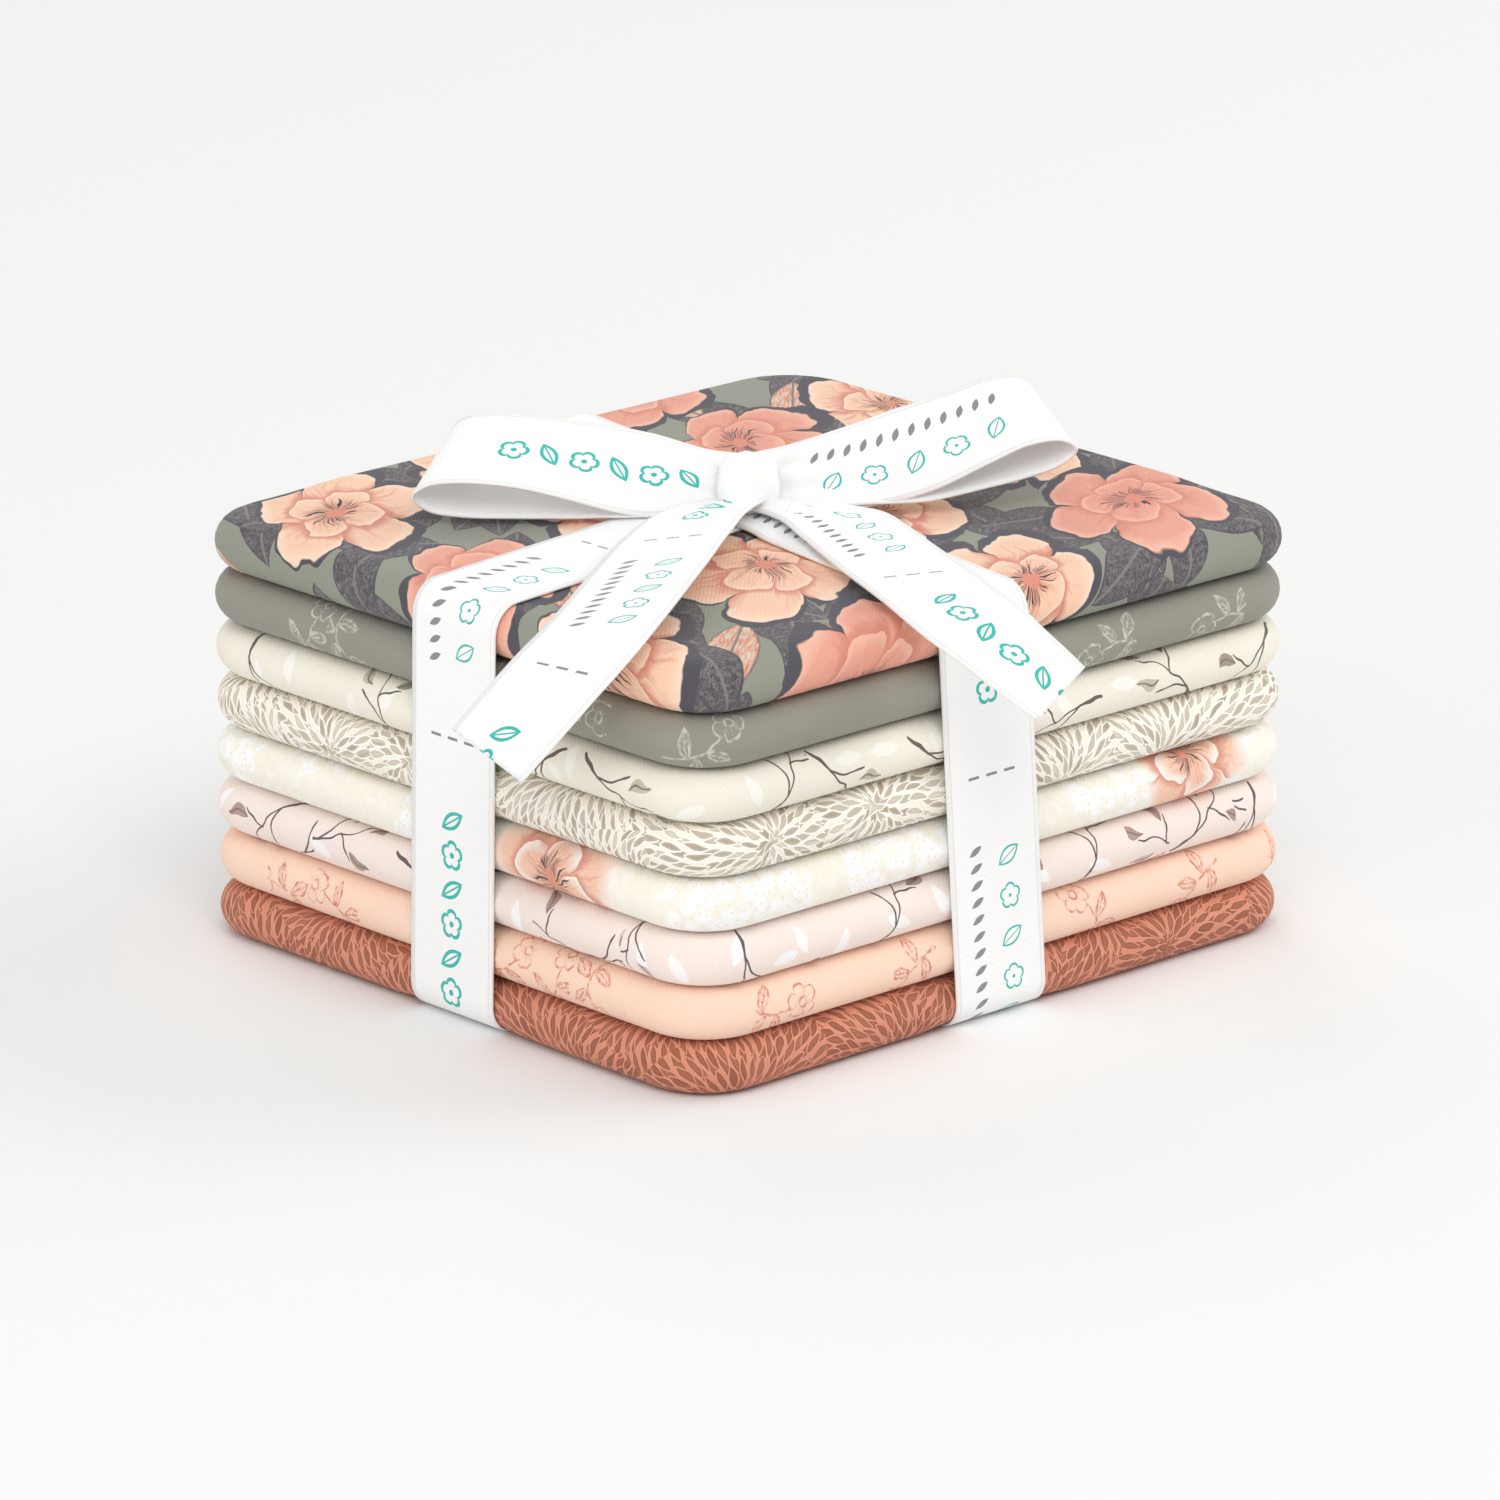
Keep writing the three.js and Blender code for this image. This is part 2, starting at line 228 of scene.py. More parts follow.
def ripple(run, seed):
    # slight unevenness along a fold, from -1 to 1
    return sum(strength * math.sin(run / length + turn * seed)
               for strength, length, turn in quarter["waves"])


def bandShare(along, aside, lean):
    # 1 under a band of the ribbon, falling to 0 beside it
    middle = lean["under"]["offset"] + lean["under"]["slope"] * along
    start, end = (ribbonSize["width"] / 2 + side for side in quarter["grooveSide"])
    return 1 - smooth(abs(aside - middle), start, end)


def pressed(point, q):
    # the lowest piece gives way to the two bands that pass under it
    first = bandShare(point.x, point.y, bandX)
    second = bandShare(point.y, point.x, bandY)
    depth = q["groove"] * max(first, second) + q["grooveCross"] * first * second
    return point + up * depth * clamp(1 - point.z / q["height"])


class SheetMesh:
    # the vertices, faces and cloth coordinates of one sheet while it is being laid
    def __init__(self):
        self.points, self.faces, self.coordinates = [], [], []

    def point(self, place):
        self.points.append(Vector(place))
        return len(self.points) - 1

    def face(self, corners, coordinates, flip=False):
        pairs = list(zip(corners, coordinates))
        if flip:
            pairs.reverse()
        self.faces.append([corner for corner, _ in pairs])
        self.coordinates.append([coordinate for _, coordinate in pairs])

    def build(self, name):
        mesh = bpy.data.meshes.new(name)
        mesh.from_pydata(self.points, [], self.faces)
        layer = mesh.uv_layers.new(name="cloth")
        flat = [value for face in self.coordinates for place in face for value in place]
        layer.data.foreach_set("uv", flat)
        mesh.shade_smooth()
        made = bpy.data.objects.new(name, mesh)
        bpy.context.scene.collection.objects.link(made)
        return made


def foldProfile(top, bottom, inset, steps, wide=None):
    # a fold in section, as pairs of inset and height: round a half circle between two plies, or
    # with its nose drawn out to wide
    half, middle = (top - bottom) / 2, (top + bottom) / 2
    wide = wide or half
    turns = [math.pi * step / steps for step in range(steps + 1)]
    nose = [(inset + wide * (1 - math.sin(t)), middle + half * math.cos(t)) for t in turns]
    return nose if wide == half else [(rimInset, top)] + nose + [(rimInset, bottom)]


def nearInset(height):
    # how far in the outermost near fold stands at a height over the piece's underside
    radius = (quarter["height"] - quarter["ply"]) / 2
    rise = height - quarter["height"] / 2
    return quarter["height"] / 2 - math.sqrt(max(0, radius ** 2 - rise ** 2))


def layFatQuarter(cotton, index, q):
    low = (len(cottons) - 1 - index) * (q["height"] + q["gap"])
    stations, nearEnd, perimeter = planStations(q)
    count = len(stations)
    heights = {ply: low + q["ply"] / 2 + (plyCount - ply) * plyPitch
               for ply in range(1, plyCount + 1)}
    sheet = SheetMesh()

    def place(i, inset, height, swell=0.0):
        s = stations[i % count]
        flat = s["core"] + s["out"] * (q["corner"] - inset + swell)
        return Vector((flat.x, flat.y, height))

    rims = {ply: [sheet.point(place(i, rimInset, heights[ply])) for i in range(count)]
            for ply in heights}

    def cloth(i, length, height):
        # cloth coordinates on a fold: along the outline and up, or for the top piece straight on
        # from the print on its face
        s = stations[i % count]
        if index == 0:
            flat = s["core"] + s["out"] * (q["corner"] - rimInset + length)
            return flat.x, flat.y
        run = s["run"] + (perimeter if i >= count else 0)
        return run, height

    def layFold(ply, other, profileAt, first, last, seed):
        middle = (heights[ply] + heights[other]) / 2 if other else heights[ply]
        base = profileAt((first + last) // 2)
        lengths = [0.0]
        for (a, b), (c, d) in zip(base, base[1:]):
            lengths.append(lengths[-1] + math.hypot(c - a, d - b))
        total = lengths[-1]
        rises = [middle - low + total / 2 - length for length in lengths]
        rows = []
        for i in range(first, last + 1):
            row = [rims[ply][i % count]]
            for (inset, height), length in zip(profileAt(i)[1:], lengths[1:]):
                bulge = math.sin(math.pi * length / total) if other else length / total
                swell = q["ripple"] * bulge * ripple(stations[i % count]["run"], seed)
                row.append(sheet.point(place(i, inset, height, swell)))
            if other:
                row[-1] = rims[other][i % count]
            rows.append(row)
        for k, (row, after) in enumerate(zip(rows, rows[1:])):
            i = first + k
            for j in range(len(base) - 1):
                corners = [(i, j), (i, j + 1), (i + 1, j + 1), (i + 1, j)]
                sheet.face([row[j], row[j + 1], after[j + 1], after[j]],
                           [cloth(a, lengths[b], rises[b]) for a, b in corners])

    def eased(i, height, setBack):
        # a far fold's or edge's inset, from inside the near folds out to its own place
        inside = min(nearInset(height - low) + q["ply"], rimInset - q["edgeClear"])
        return mix(max(inside, setBack), setBack, smooth(stations[i % count]["past"], 0, q["ease"]))

    for level, (ply, other, steps) in enumerate(nearFolds):
        profile = foldProfile(heights[ply], heights[other], q["ply"] / 2 + level * plyPitch, steps)
        layFold(ply, other, lambda i: profile, 0, nearEnd, index + 0.3 * level)
    for level, (ply, other, steps) in enumerate(farFolds):
        top, bottom = heights[ply], heights[other]
        setBack = q["ply"] / 2 + {7: cotton["innerEdge"], 10: cotton["lowEdge"]}.get(
            ply, level * plyPitch)

        def farProfile(i):
            inset = eased(i, (top + bottom) / 2, setBack)
            nose = (top - bottom) / 2 * q["nose"]
            eases = smooth(stations[i % count]["past"], 0, q["ease"])
            wide = max(nose, mix(rimInset - inset - q["rimClear"], nose, eases))
            return foldProfile(top, bottom, inset, steps, min(wide, rimInset - inset))

        layFold(ply, other, farProfile, nearEnd, count, index + 0.7 + 0.3 * level)
    for ply, setBack in ((9, cotton["innerEdge"]), (12, cotton["lowEdge"])):
        layFold(ply, None, lambda i: [
            (mix(rimInset, eased(i, heights[ply], setBack + q["edgeClear"]), share), heights[ply])
            for share in (0, 0.5, 1)], nearEnd, count, index + ply)

    def flatCoordinates(corners):
        return [(sheet.points[c].x, sheet.points[c].y) for c in corners]

    shown = {1: index == 0, plyCount: index == len(cottons) - 1}
    for ply, rim in rims.items():
        # plies lie face up and face down in turn as the cloth goes back and forth
        faceDown = ply % 2 == 0
        outer = rim
        if shown.get(ply):
            for share in [1 - k / q["topSteps"] for k in range(1, q["topSteps"])]:
                inner = [sheet.point(Vector((sheet.points[c].x * share, sheet.points[c].y * share,
                                             sheet.points[c].z))) for c in rim]
                for i in range(count):
                    j = (i + 1) % count
                    corners = [outer[i], outer[j], inner[j], inner[i]]
                    sheet.face(corners, flatCoordinates(corners), faceDown)
                outer = inner
        sheet.face(outer, flatCoordinates(outer), faceDown)
    if index == len(cottons) - 1:
        sheet.points = [pressed(point, q) for point in sheet.points]
    return sheet.build("fatQuarter_" + cotton["name"])


def thicken(piece, thickness):
    solid = piece.modifiers.new("thickness", "SOLIDIFY")
    solid.thickness = thickness
    solid.offset = 0
    if len(piece.data.materials) > 1:
        solid.material_offset = 1
        solid.material_offset_rim = 1
    bpy.ops.object.select_all(action="DESELECT")
    bpy.context.view_layer.objects.active = piece
    piece.select_set(True)
    bpy.ops.object.modifier_apply(modifier=solid.name)


# Ribbon

ribbonSize = {
    "width": 22 * mm,
    "thickness": 0.46 * mm,
    "length": 1.42,
    "clear": 0.32 * mm,             # between the stack and the bands
    "floorClear": 0.03 * mm,        # between the bands and the floor
    "crossClear": 0.08 * mm,        # between one band and the other where they cross
    "crossing": (12 * mm, 19 * mm),     # from a crossing's middle, where the upper band comes down
    "tightTurn": 2.3 * mm,          # radius of the cloth under the band at the far top fold
    "step": 1.3 * mm,               # mesh spacing along the bands
    "turnSteps": 12,                # mesh steps in a band's quarter turn
    "loopSteps": 110,               # along a loop
    "tailSteps": 100,               # along a tail
    "acrossSteps": 16,
}
# each band leans a little as it goes round: its middle is at offset + slope * distance along it.
# print is where in the ribbon's printing each length of it starts
bandX = {"under": {"offset": 1.5 * mm, "slope": 0.08}, "over": {"offset": 2.8 * mm, "slope": 0.12},
         "print": 52 * mm}
bandY = {"under": {"offset": 1.3 * mm, "slope": 0.06}, "over": {"offset": 1.4 * mm, "slope": 0.143},
         "print": 0 * mm}

bow = {
    "turn": math.radians(photoView["azimuth"]),     # the bow lies across the picture
    "at": Vector((-2 * mm, -2.2 * mm, 86 * mm)),
    "pleats": 2.5,                  # waves across the ribbon where the knot gathers it
    "pleatShift": 0.4,              # where across the ribbon the first wave starts
    "pleatDepth": 0.7 * mm,
    "pleatStart": 4 * mm,           # from the knot to where the pleats start to run out
    "pleatReach": 26 * mm,          # and to where they have run out
}
# each loop's route over the upper layer, round the tip and back: how far along from the knot and
# its rise in mm, the tilt of its width in degrees and the width in mm
loops = [
    {"side": -1, "print": 6 * mm, "swing": 3, "lean": 23, "skew": 0.3, "route": [
        (1, 0.4, 62, 9.8), (8, 0.4, 58, 11.6), (18, 1.3, 45, 17.2), (29, 3.9, 28, 20.6),
        (40, 6.3, 23, 21), (50, 7, 23, 21), (55, 6, 23, 21), (57.5, 3.4, 23, 21),
        (55, 0.4, 23, 21), (50, -0.8, 23, 21), (34, -1.2, 23, 20), (18, -1.8, 23, 16),
        (8, -1.7, 30, 12), (1, -1.2, 40, 10)]},
    {"side": 1, "print": 66 * mm, "swing": 16, "lean": 21, "skew": 0.16, "route": [
        (1, 0.4, 62, 10), (8, 0.5, 58, 11.8), (20, 1.5, 44, 17), (32, 4.8, 32, 20.6),
        (41, 8.5, 24, 21), (48, 11.4, 21, 21), (54, 11.8, 21, 21), (57, 9.4, 21, 21),
        (54.5, 6.4, 21, 21), (48, 4, 21, 21), (41, 2.4, 21, 21), (32, 0.7, 21, 21),
        (20, -1, 21, 16), (8, -1.3, 28, 12), (1, -1, 40, 10)]},
]
# each tail's middle, the way across it and its width, in mm
tails = [
    {"face": -1, "print": 30 * mm, "route": [
        ((-2, -2.2, 83.4), (0.72, -0.68, 0.12), 11),
        ((-15.5, -5, 83.6), (0.68, -0.72, 0.12), 17.5),
        ((-31, -14.5, 84.2), (0.58, -0.8, 0.16), 20.5),
        ((-48, -26, 84), (0.54, -0.82, 0.16), 21.5),
        ((-64.5, -37, 83.4), (0.49, -0.86, 0.15), 21.6),
        ((-79.1, -45, 81.4), (0.36, -0.93, 0.1), 21.7),
        ((-91, -47.2, 75.8), (0.14, -0.98, -0.08), 20.4),
        ((-102, -43.8, 64.8), (-0.06, -0.97, -0.24), 20)]},
    {"face": 1, "print": 70 * mm, "route": [
        ((-2, -2.2, 82.6), (-0.8, 0.6, 0), 11), ((0.8, -9.5, 82.4), (-0.82, 0.57, 0), 15),
        ((3.1, -18, 82.2), (-0.84, 0.54, 0), 19.4), ((-0.9, -29.5, 82.1), (-0.88, 0.47, 0), 20.5),
        ((-6, -41, 82.1), (-0.9, 0.43, 0), 21), ((-11.8, -55, 82.1), (-0.92, 0.39, 0), 21.5),
        ((-18, -70, 82), (-0.93, 0.36, 0), 21.5),
        ((-20.3, -79.5, 80.4), (-0.95, 0.24, -0.06), 20.8),
        ((-19.2, -87.5, 76.6), (-0.96, -0.04, -0.12), 20),
        ((-13.7, -95.4, 69.2), (-0.91, -0.36, -0.19), 20.6)]},
]


def curvePoint(points, share):
    # a smooth curve through the points, its knots spaced by the root of their distance
    place = clamp(share) * (len(points) - 1)
    index = min(int(place), len(points) - 2)
    local = place - index
    p1, p2 = points[index], points[index + 1]
    p0 = points[index - 1] if index else p1 * 2 - p2
    p3 = points[index + 2] if index + 2 < len(points) else p2 * 2 - p1
    d0, d1, d2 = (max(1e-6, math.sqrt((b - a).length)) for a, b in ((p0, p1), (p1, p2), (p2, p3)))
    t1 = ((p1 - p0) / d0 - (p2 - p0) / (d0 + d1) + (p2 - p1) / d1) * d1
    t2 = ((p2 - p1) / d1 - (p3 - p1) / (d1 + d2) + (p3 - p2) / d2) * d1
    square, cube = local ** 2, local ** 3
    return (p1 * (2 * cube - 3 * square + 1) + p2 * (3 * square - 2 * cube)
            + t1 * (cube - 2 * square + local) + t2 * (cube - square))


def layStrip(sheet, rows, offset, mirrored=1):
    # a length of ribbon: rows hold its middle, the way across, the way its printed side faces and
    # its width there, and may hold how deeply it is gathered into pleats. The print starts at
    # offset
    steps = ribbonSize["acrossSteps"]
    lines, run = [], offset
    for index, row in enumerate(rows):
        if index:
            run += (row["at"] - rows[index - 1]["at"]).length
        line = []
        for step in range(steps + 1):
            side = step / steps - 0.5
            wave = 2 * math.pi * bow["pleats"] * side + bow["pleatShift"]
            pleat = row.get("gather", 0) * math.cos(wave)
            place = row["at"] + row["across"] * side * row["width"] + row["out"] * pleat
            line.append((sheet.point(place), (run, mirrored * side * ribbonSize["width"])))
        lines.append(line)
    middle = len(rows) // 2
    ahead = rows[middle + 1]["at"] - rows[middle]["at"]
    inward = rows[middle]["across"].cross(ahead).dot(rows[middle]["out"]) < 0
    for line, after in zip(lines, lines[1:]):
        for a, b, c, d in zip(line, line[1:], after[1:], after):
            sheet.face([a[0], b[0], c[0], d[0]], [a[1], b[1], c[1], d[1]], inward)


def bandRows(lean, length, turned):
    # once round the stack, from the middle of the underside. The far side's top fold is the
    # tighter one, and below, the band is pressed up level with the cloth
    r = ribbonSize
    reach = r["clear"] + r["thickness"] / 2
    end = length / 2 + reach
    low, high = r["thickness"] / 2 + r["floorClear"], stackTop + reach
    wide = quarter["height"] / 2 + reach
    tight = r["tightTurn"] + reach
    corners = [
        (end - wide, low + wide, wide, -90), (end - tight, high - tight, tight, 0),
        (-end + wide, high - wide, wide, 90), (-end + wide, low + wide, wide, 180),
    ]
    outline = [Vector((0, low))]
    for x, z, radius, start in corners:
        for step in range(r["turnSteps"] + 1):
            angle = math.radians(start + 90 * step / r["turnSteps"])
            outline.append(Vector((x + radius * math.cos(angle), z + radius * math.sin(angle))))
    outline.append(Vector((0, low)))
    even = [outline[0]]
    for a, b in zip(outline, outline[1:]):
        pieces = max(1, round((b - a).length / r["step"]))
        even += [a.lerp(b, (k + 1) / pieces) for k in range(pieces)]
    rows = []
    for k, p in enumerate(even):
        before, after = even[max(k - 1, 0)], even[min(k + 1, len(even) - 1)]
        along = (after - before).normalized()
        out = Vector((along.y, -along.x))
        share = clamp(p.y / stackTop)
        offset = mix(lean["under"]["offset"], lean["over"]["offset"], share)
        slope = mix(lean["under"]["slope"], lean["over"]["slope"], share)
        middle = offset + slope * p.x
        if turned:
            # this band crosses over the other above, and between it and the cloth below
            near = 1 - smooth(abs(p.x), *r["crossing"])
            lift = near * (r["thickness"] + r["crossClear"])
            row = (middle, p.x, p.y + lift), (-1, 0, 0), (0, out.x, out.y)
        else:
            row = (p.x, middle, p.y), (0, 1, 0), (out.x, 0, out.y)
        at, across, outward = map(Vector, row)
        rows.append({"at": at, "across": across, "width": r["width"], "out": outward})
    return rows


def curveRows(points, acrosses, widths, count, face):
    # rows of a loop or tail along a smooth curve through its points
    near = 0.002                # share of the curve looked ahead and behind, for its direction
    rows = []
    for k in range(count + 1):
        share = k / count
        at = curvePoint(points, share)
        ahead = curvePoint(points, min(1, share + near)) - curvePoint(points, max(0, share - near))
        across = curvePoint(acrosses, share).normalized()
        out = across.cross(ahead).normalized() * face
        width = curvePoint([Vector((w, 0, 0)) for w in widths], share).x
        loose = smooth((at - bow["at"]).length, bow["pleatStart"], bow["pleatReach"])
        rows.append({"at": at, "across": across, "out": out, "width": width,
                     "gather": bow["pleatDepth"] * (1 - loose)})
    return rows


def levelAxes(turn):
    # the level direction at a turn, and the one a quarter turn on from it
    c, s = math.cos(turn), math.sin(turn)
    return Vector((c, s, 0)), Vector((-s, c, 0))


def raised(level, degrees):
    # a direction turned up from level
    angle = math.radians(degrees)
    return level * math.cos(angle) + up * math.sin(angle)


def loopRows(loop):
    swing = math.radians(loop["swing"])
    alongBow, away = levelAxes(bow["turn"])
    along = alongBow * loop["side"] * math.cos(swing) + away * math.sin(swing)
    level = -alongBow * loop["side"] * math.sin(swing) + away * math.cos(swing)
    rise = raised(level, loop["lean"] + 90)
    tip = max(row[0] for row in loop["route"])
    points, acrosses, widths = [], [], []
    for place, height, tilt, width in loop["route"]:
        points.append(bow["at"] + along * place * mm + rise * height * mm)
        acrosses.append(raised(level, tilt) - along * loop["skew"] * place / tip)
        widths.append(width * mm)
    return curveRows(points, acrosses, widths, ribbonSize["loopSteps"], -loop["side"])


def tailRows(tail):
    points = [Vector(at) * mm for at, _, _ in tail["route"]]
    acrosses = [Vector(across) for _, across, _ in tail["route"]]
    widths = [width * mm for _, _, width in tail["route"]]
    return curveRows(points, acrosses, widths, ribbonSize["tailSteps"], tail["face"])


knot = {
    "width": 11.3 * mm,
    "depth": 11 * mm,
    "height": 10.6 * mm,
    "middle": Vector((-2 * mm, -2.2 * mm, 85.8 * mm)),
    "ridge": 0.22 * mm,             # height of the creases round it
    "ridges": 3.2,                  # half waves of them to each side
    "ridgeLean": 0.8,               # how far they wander as they go round
    "drawnIn": 0.42,                # how much slimmer it is at its ends
    "drawnPower": 4.5,              # how late towards the ends that comes
    "squareness": 2.7,              # of its section: 2 is an ellipse
    "waist": 0.06,                  # how much shorter it is above and below
    "aroundSteps": 44,
    "acrossSteps": 18,
    "printStep": 1 * mm,            # length of print for each step round it
}


def layKnot(sheet, k):
    # the turn of ribbon round the middle of the bow, its edges drawn in against the loops
    alongBow, away = levelAxes(bow["turn"])
    power = k["squareness"]
    rings = []
    for j in range(k["acrossSteps"] + 1):
        side = 2 * j / k["acrossSteps"] - 1
        drawnIn = 1 - k["drawnIn"] * abs(side) ** k["drawnPower"]
        ring = []
        for i in range(k["aroundSteps"]):
            angle = 2 * math.pi * i / k["aroundSteps"]
            c, s = math.cos(angle), math.sin(angle)
            section = (abs(c) ** power + abs(s) ** power) ** (-1 / power)
            ridge = k["ridge"] * math.cos(k["ridges"] * math.pi * side + k["ridgeLean"] * s)
            radius = Vector((k["depth"] / 2, k["height"] / 2)) * section * drawnIn
            place = (k["middle"] + alongBow * side * k["width"] / 2 * (1 - k["waist"] * abs(s))
                     + away * c * (radius.x + ridge) + up * s * (radius.y + ridge))
            ring.append((sheet.point(place), (k["printStep"] * i, side * k["width"])))
        rings.append(ring)
    for ring, after in zip(rings, rings[1:]):
        for a, b, c, d in zip(ring, ring[1:] + ring[:1], after[1:] + after[:1], after):
            sheet.face([a[0], d[0], c[0], b[0]], [a[1], d[1], c[1], b[1]])


# Materials

def node(tree, kind, inputs=(), out=0, **settings):
    # adds one node with its settings and its inputs, each a value or another node's output. The
    # kind of a maths node is followed by its operation
    kind, *operation = kind.split()
    made = tree.nodes.new("ShaderNode" + kind)
    if operation:
        made.operation = operation[0]
    for name, value in settings.items():
        setattr(made, name, value)
    for key, value in inputs.items() if isinstance(inputs, dict) else enumerate(inputs):
        if isinstance(value, bpy.types.NodeSocket):
            tree.links.new(value, made.inputs[key])
        else:
            made.inputs[key].default_value = value
    return made.outputs[out]


def painted(t, under, upper, value, start, end):
    # one colour laid over another: none of it where a value is at start, all of it at end
    share = node(t, "MapRange", [value, start, end])
    return node(t, "MixRGB", [share, under, upper])


def wavered(t, place, scale, detail, reach):
    # coordinates shaken by a soft noise, so that what is drawn in them looks drawn by hand
    shake = node(t, "TexNoise", {"Vector": place, "Scale": scale, "Detail": detail}, 1)
    shake = node(t, "VectorMath SUBTRACT", [shake, (0.5, 0.5, 0.5)])
    return node(t, "VectorMath MULTIPLY_ADD", [shake, (reach, reach, 0), place])


def cells(t, value):
    # the number of the cell that a value is in, and its place in the cell from -0.5 to 0.5
    number = node(t, "Math FLOOR", [value])
    within = node(t, "Math SUBTRACT", [value, number])
    return number, node(t, "Math SUBTRACT", [within, 0.5])


def polar(t, place):
    # how far a place is from the middle, and at what angle
    x, y, _ = node(t, "SeparateXYZ", [place]).node.outputs
    radius = node(t, "VectorMath LENGTH", [node(t, "CombineXYZ", [x, y, 0.0])], 1)
    return radius, node(t, "Math ARCTAN2", [y, x])


def covered(t, ink, inside, drawn):
    # line work with a shape over it, which hides what is inside it and has its own lines drawn
    outside = node(t, "Math SUBTRACT", [1.0, inside])
    return node(t, "Math MAXIMUM", [node(t, "Math MULTIPLY", [ink, outside]), drawn])


def scattered(t, place, pitch, randomness, seed, inRow=False):
    # coordinates about the middle of the nearest of many scattered spots, each turned its own
    # way, and three random numbers for each spot. Spots in a row keep near the middle of a fold
    reach = (1.0, 0.0 if inRow else 1.0, 0.0)
    moved = node(t, "VectorMath MULTIPLY_ADD", [place, reach, (seed * 37.0, seed * 91.0, 0)])
    spot = node(t, "TexVoronoi", {"Vector": moved, "Scale": 1 / pitch, "Randomness": randomness},
                voronoi_dimensions="2D").node
    numbers = node(t, "SeparateColor", [spot.outputs["Color"]]).node.outputs
    own = node(t, "VectorMath SUBTRACT", [moved, spot.outputs["Position"]])
    if inRow:
        own = node(t, "VectorMath MULTIPLY", [own, (1.0, rowSpread, 0.0)])
        level = node(t, "VectorMath MULTIPLY_ADD", [place, (0, 1, 0), (0, -foldMiddle, 0)])
        own = node(t, "VectorMath ADD", [own, level])
    angle = node(t, "Math MULTIPLY", [numbers[0], 2 * math.pi])
    own = node(t, "VectorRotate", {"Vector": own, "Angle": angle}, rotation_type="Z_AXIS")
    return own, numbers


def leafEdge(t, own, length, width, middle=(0, 0), turn=0):
    # a pointed leaf about its middle, turned: the distance in from its edge, and the places
    # across and along its midrib
    if turn or any(middle):
        own = node(t, "Mapping", [own, (*middle, 0), (0, 0, math.radians(turn))],
                   vector_type="TEXTURE")
    x, y, _ = node(t, "SeparateXYZ", [own]).node.outputs
    square = node(t, "Math MULTIPLY", [x, x])
    half = node(t, "Math MULTIPLY_ADD", [square, -2 * width / length ** 2, width / 2])
    across = node(t, "Math ABSOLUTE", [y])
    return node(t, "Math SUBTRACT", [half, across]), across, x


def petals(t, angle, radius, count, notch, tip):
    # distance in from the edge of a ring of round petals, and the place across each petal
    turns = node(t, "Math MULTIPLY", [angle, count / (2 * math.pi)])
    _, side = cells(t, turns)
    arch = node(t, "Math COSINE", [node(t, "Math MULTIPLY", [side, math.pi])])
    arch = node(t, "Math POWER", [arch, 0.45])
    full = node(t, "Math MULTIPLY_ADD", [arch, tip - notch, notch])
    return node(t, "Math SUBTRACT", [full, radius]), side


def stamped(t, place, stamps):
    # the coordinates of whichever stamp covers a place, later ones over earlier ones, with the
    # stamp's number as z
    local = (9, 9, 0)
    for number, (x, y, size, turn) in enumerate(stamps):
        own = node(t, "Mapping", [place, (x, y, -number), (0, 0, math.radians(turn)),
                                  (size, size, 1)], vector_type="TEXTURE")
        away = node(t, "VectorMath DISTANCE", [own, (0, 0, number)], 1)
        inside = node(t, "Math LESS_THAN", [away, 1.0])
        local = node(t, "Mix", {0: inside, 4: local, 5: own}, 1, data_type="VECTOR")
    return local


# drawing sizes in mm on the cloth, but for a blossom's, which are shares of its stamp's radius
foldMiddle = quarter["height"] / 2 / mm     # where a fold's print is centred, up its side
rowSpread = 0.22                            # how far spots in a row scatter off it, of all the way

bloom = {
    "waver": 0.34, "outer": (5, 0.52, 0.88), "inner": (4, 0.26, 0.5),   # petals, notch and tip
    "swirl": 0.45, "innerTurn": 0.7, "lean": 0.34, "heart": 0.1, "edge": 0.008,
    "hairs": 16.0, "hairShare": 0.56, "shadow": (0.07, -0.1),
}


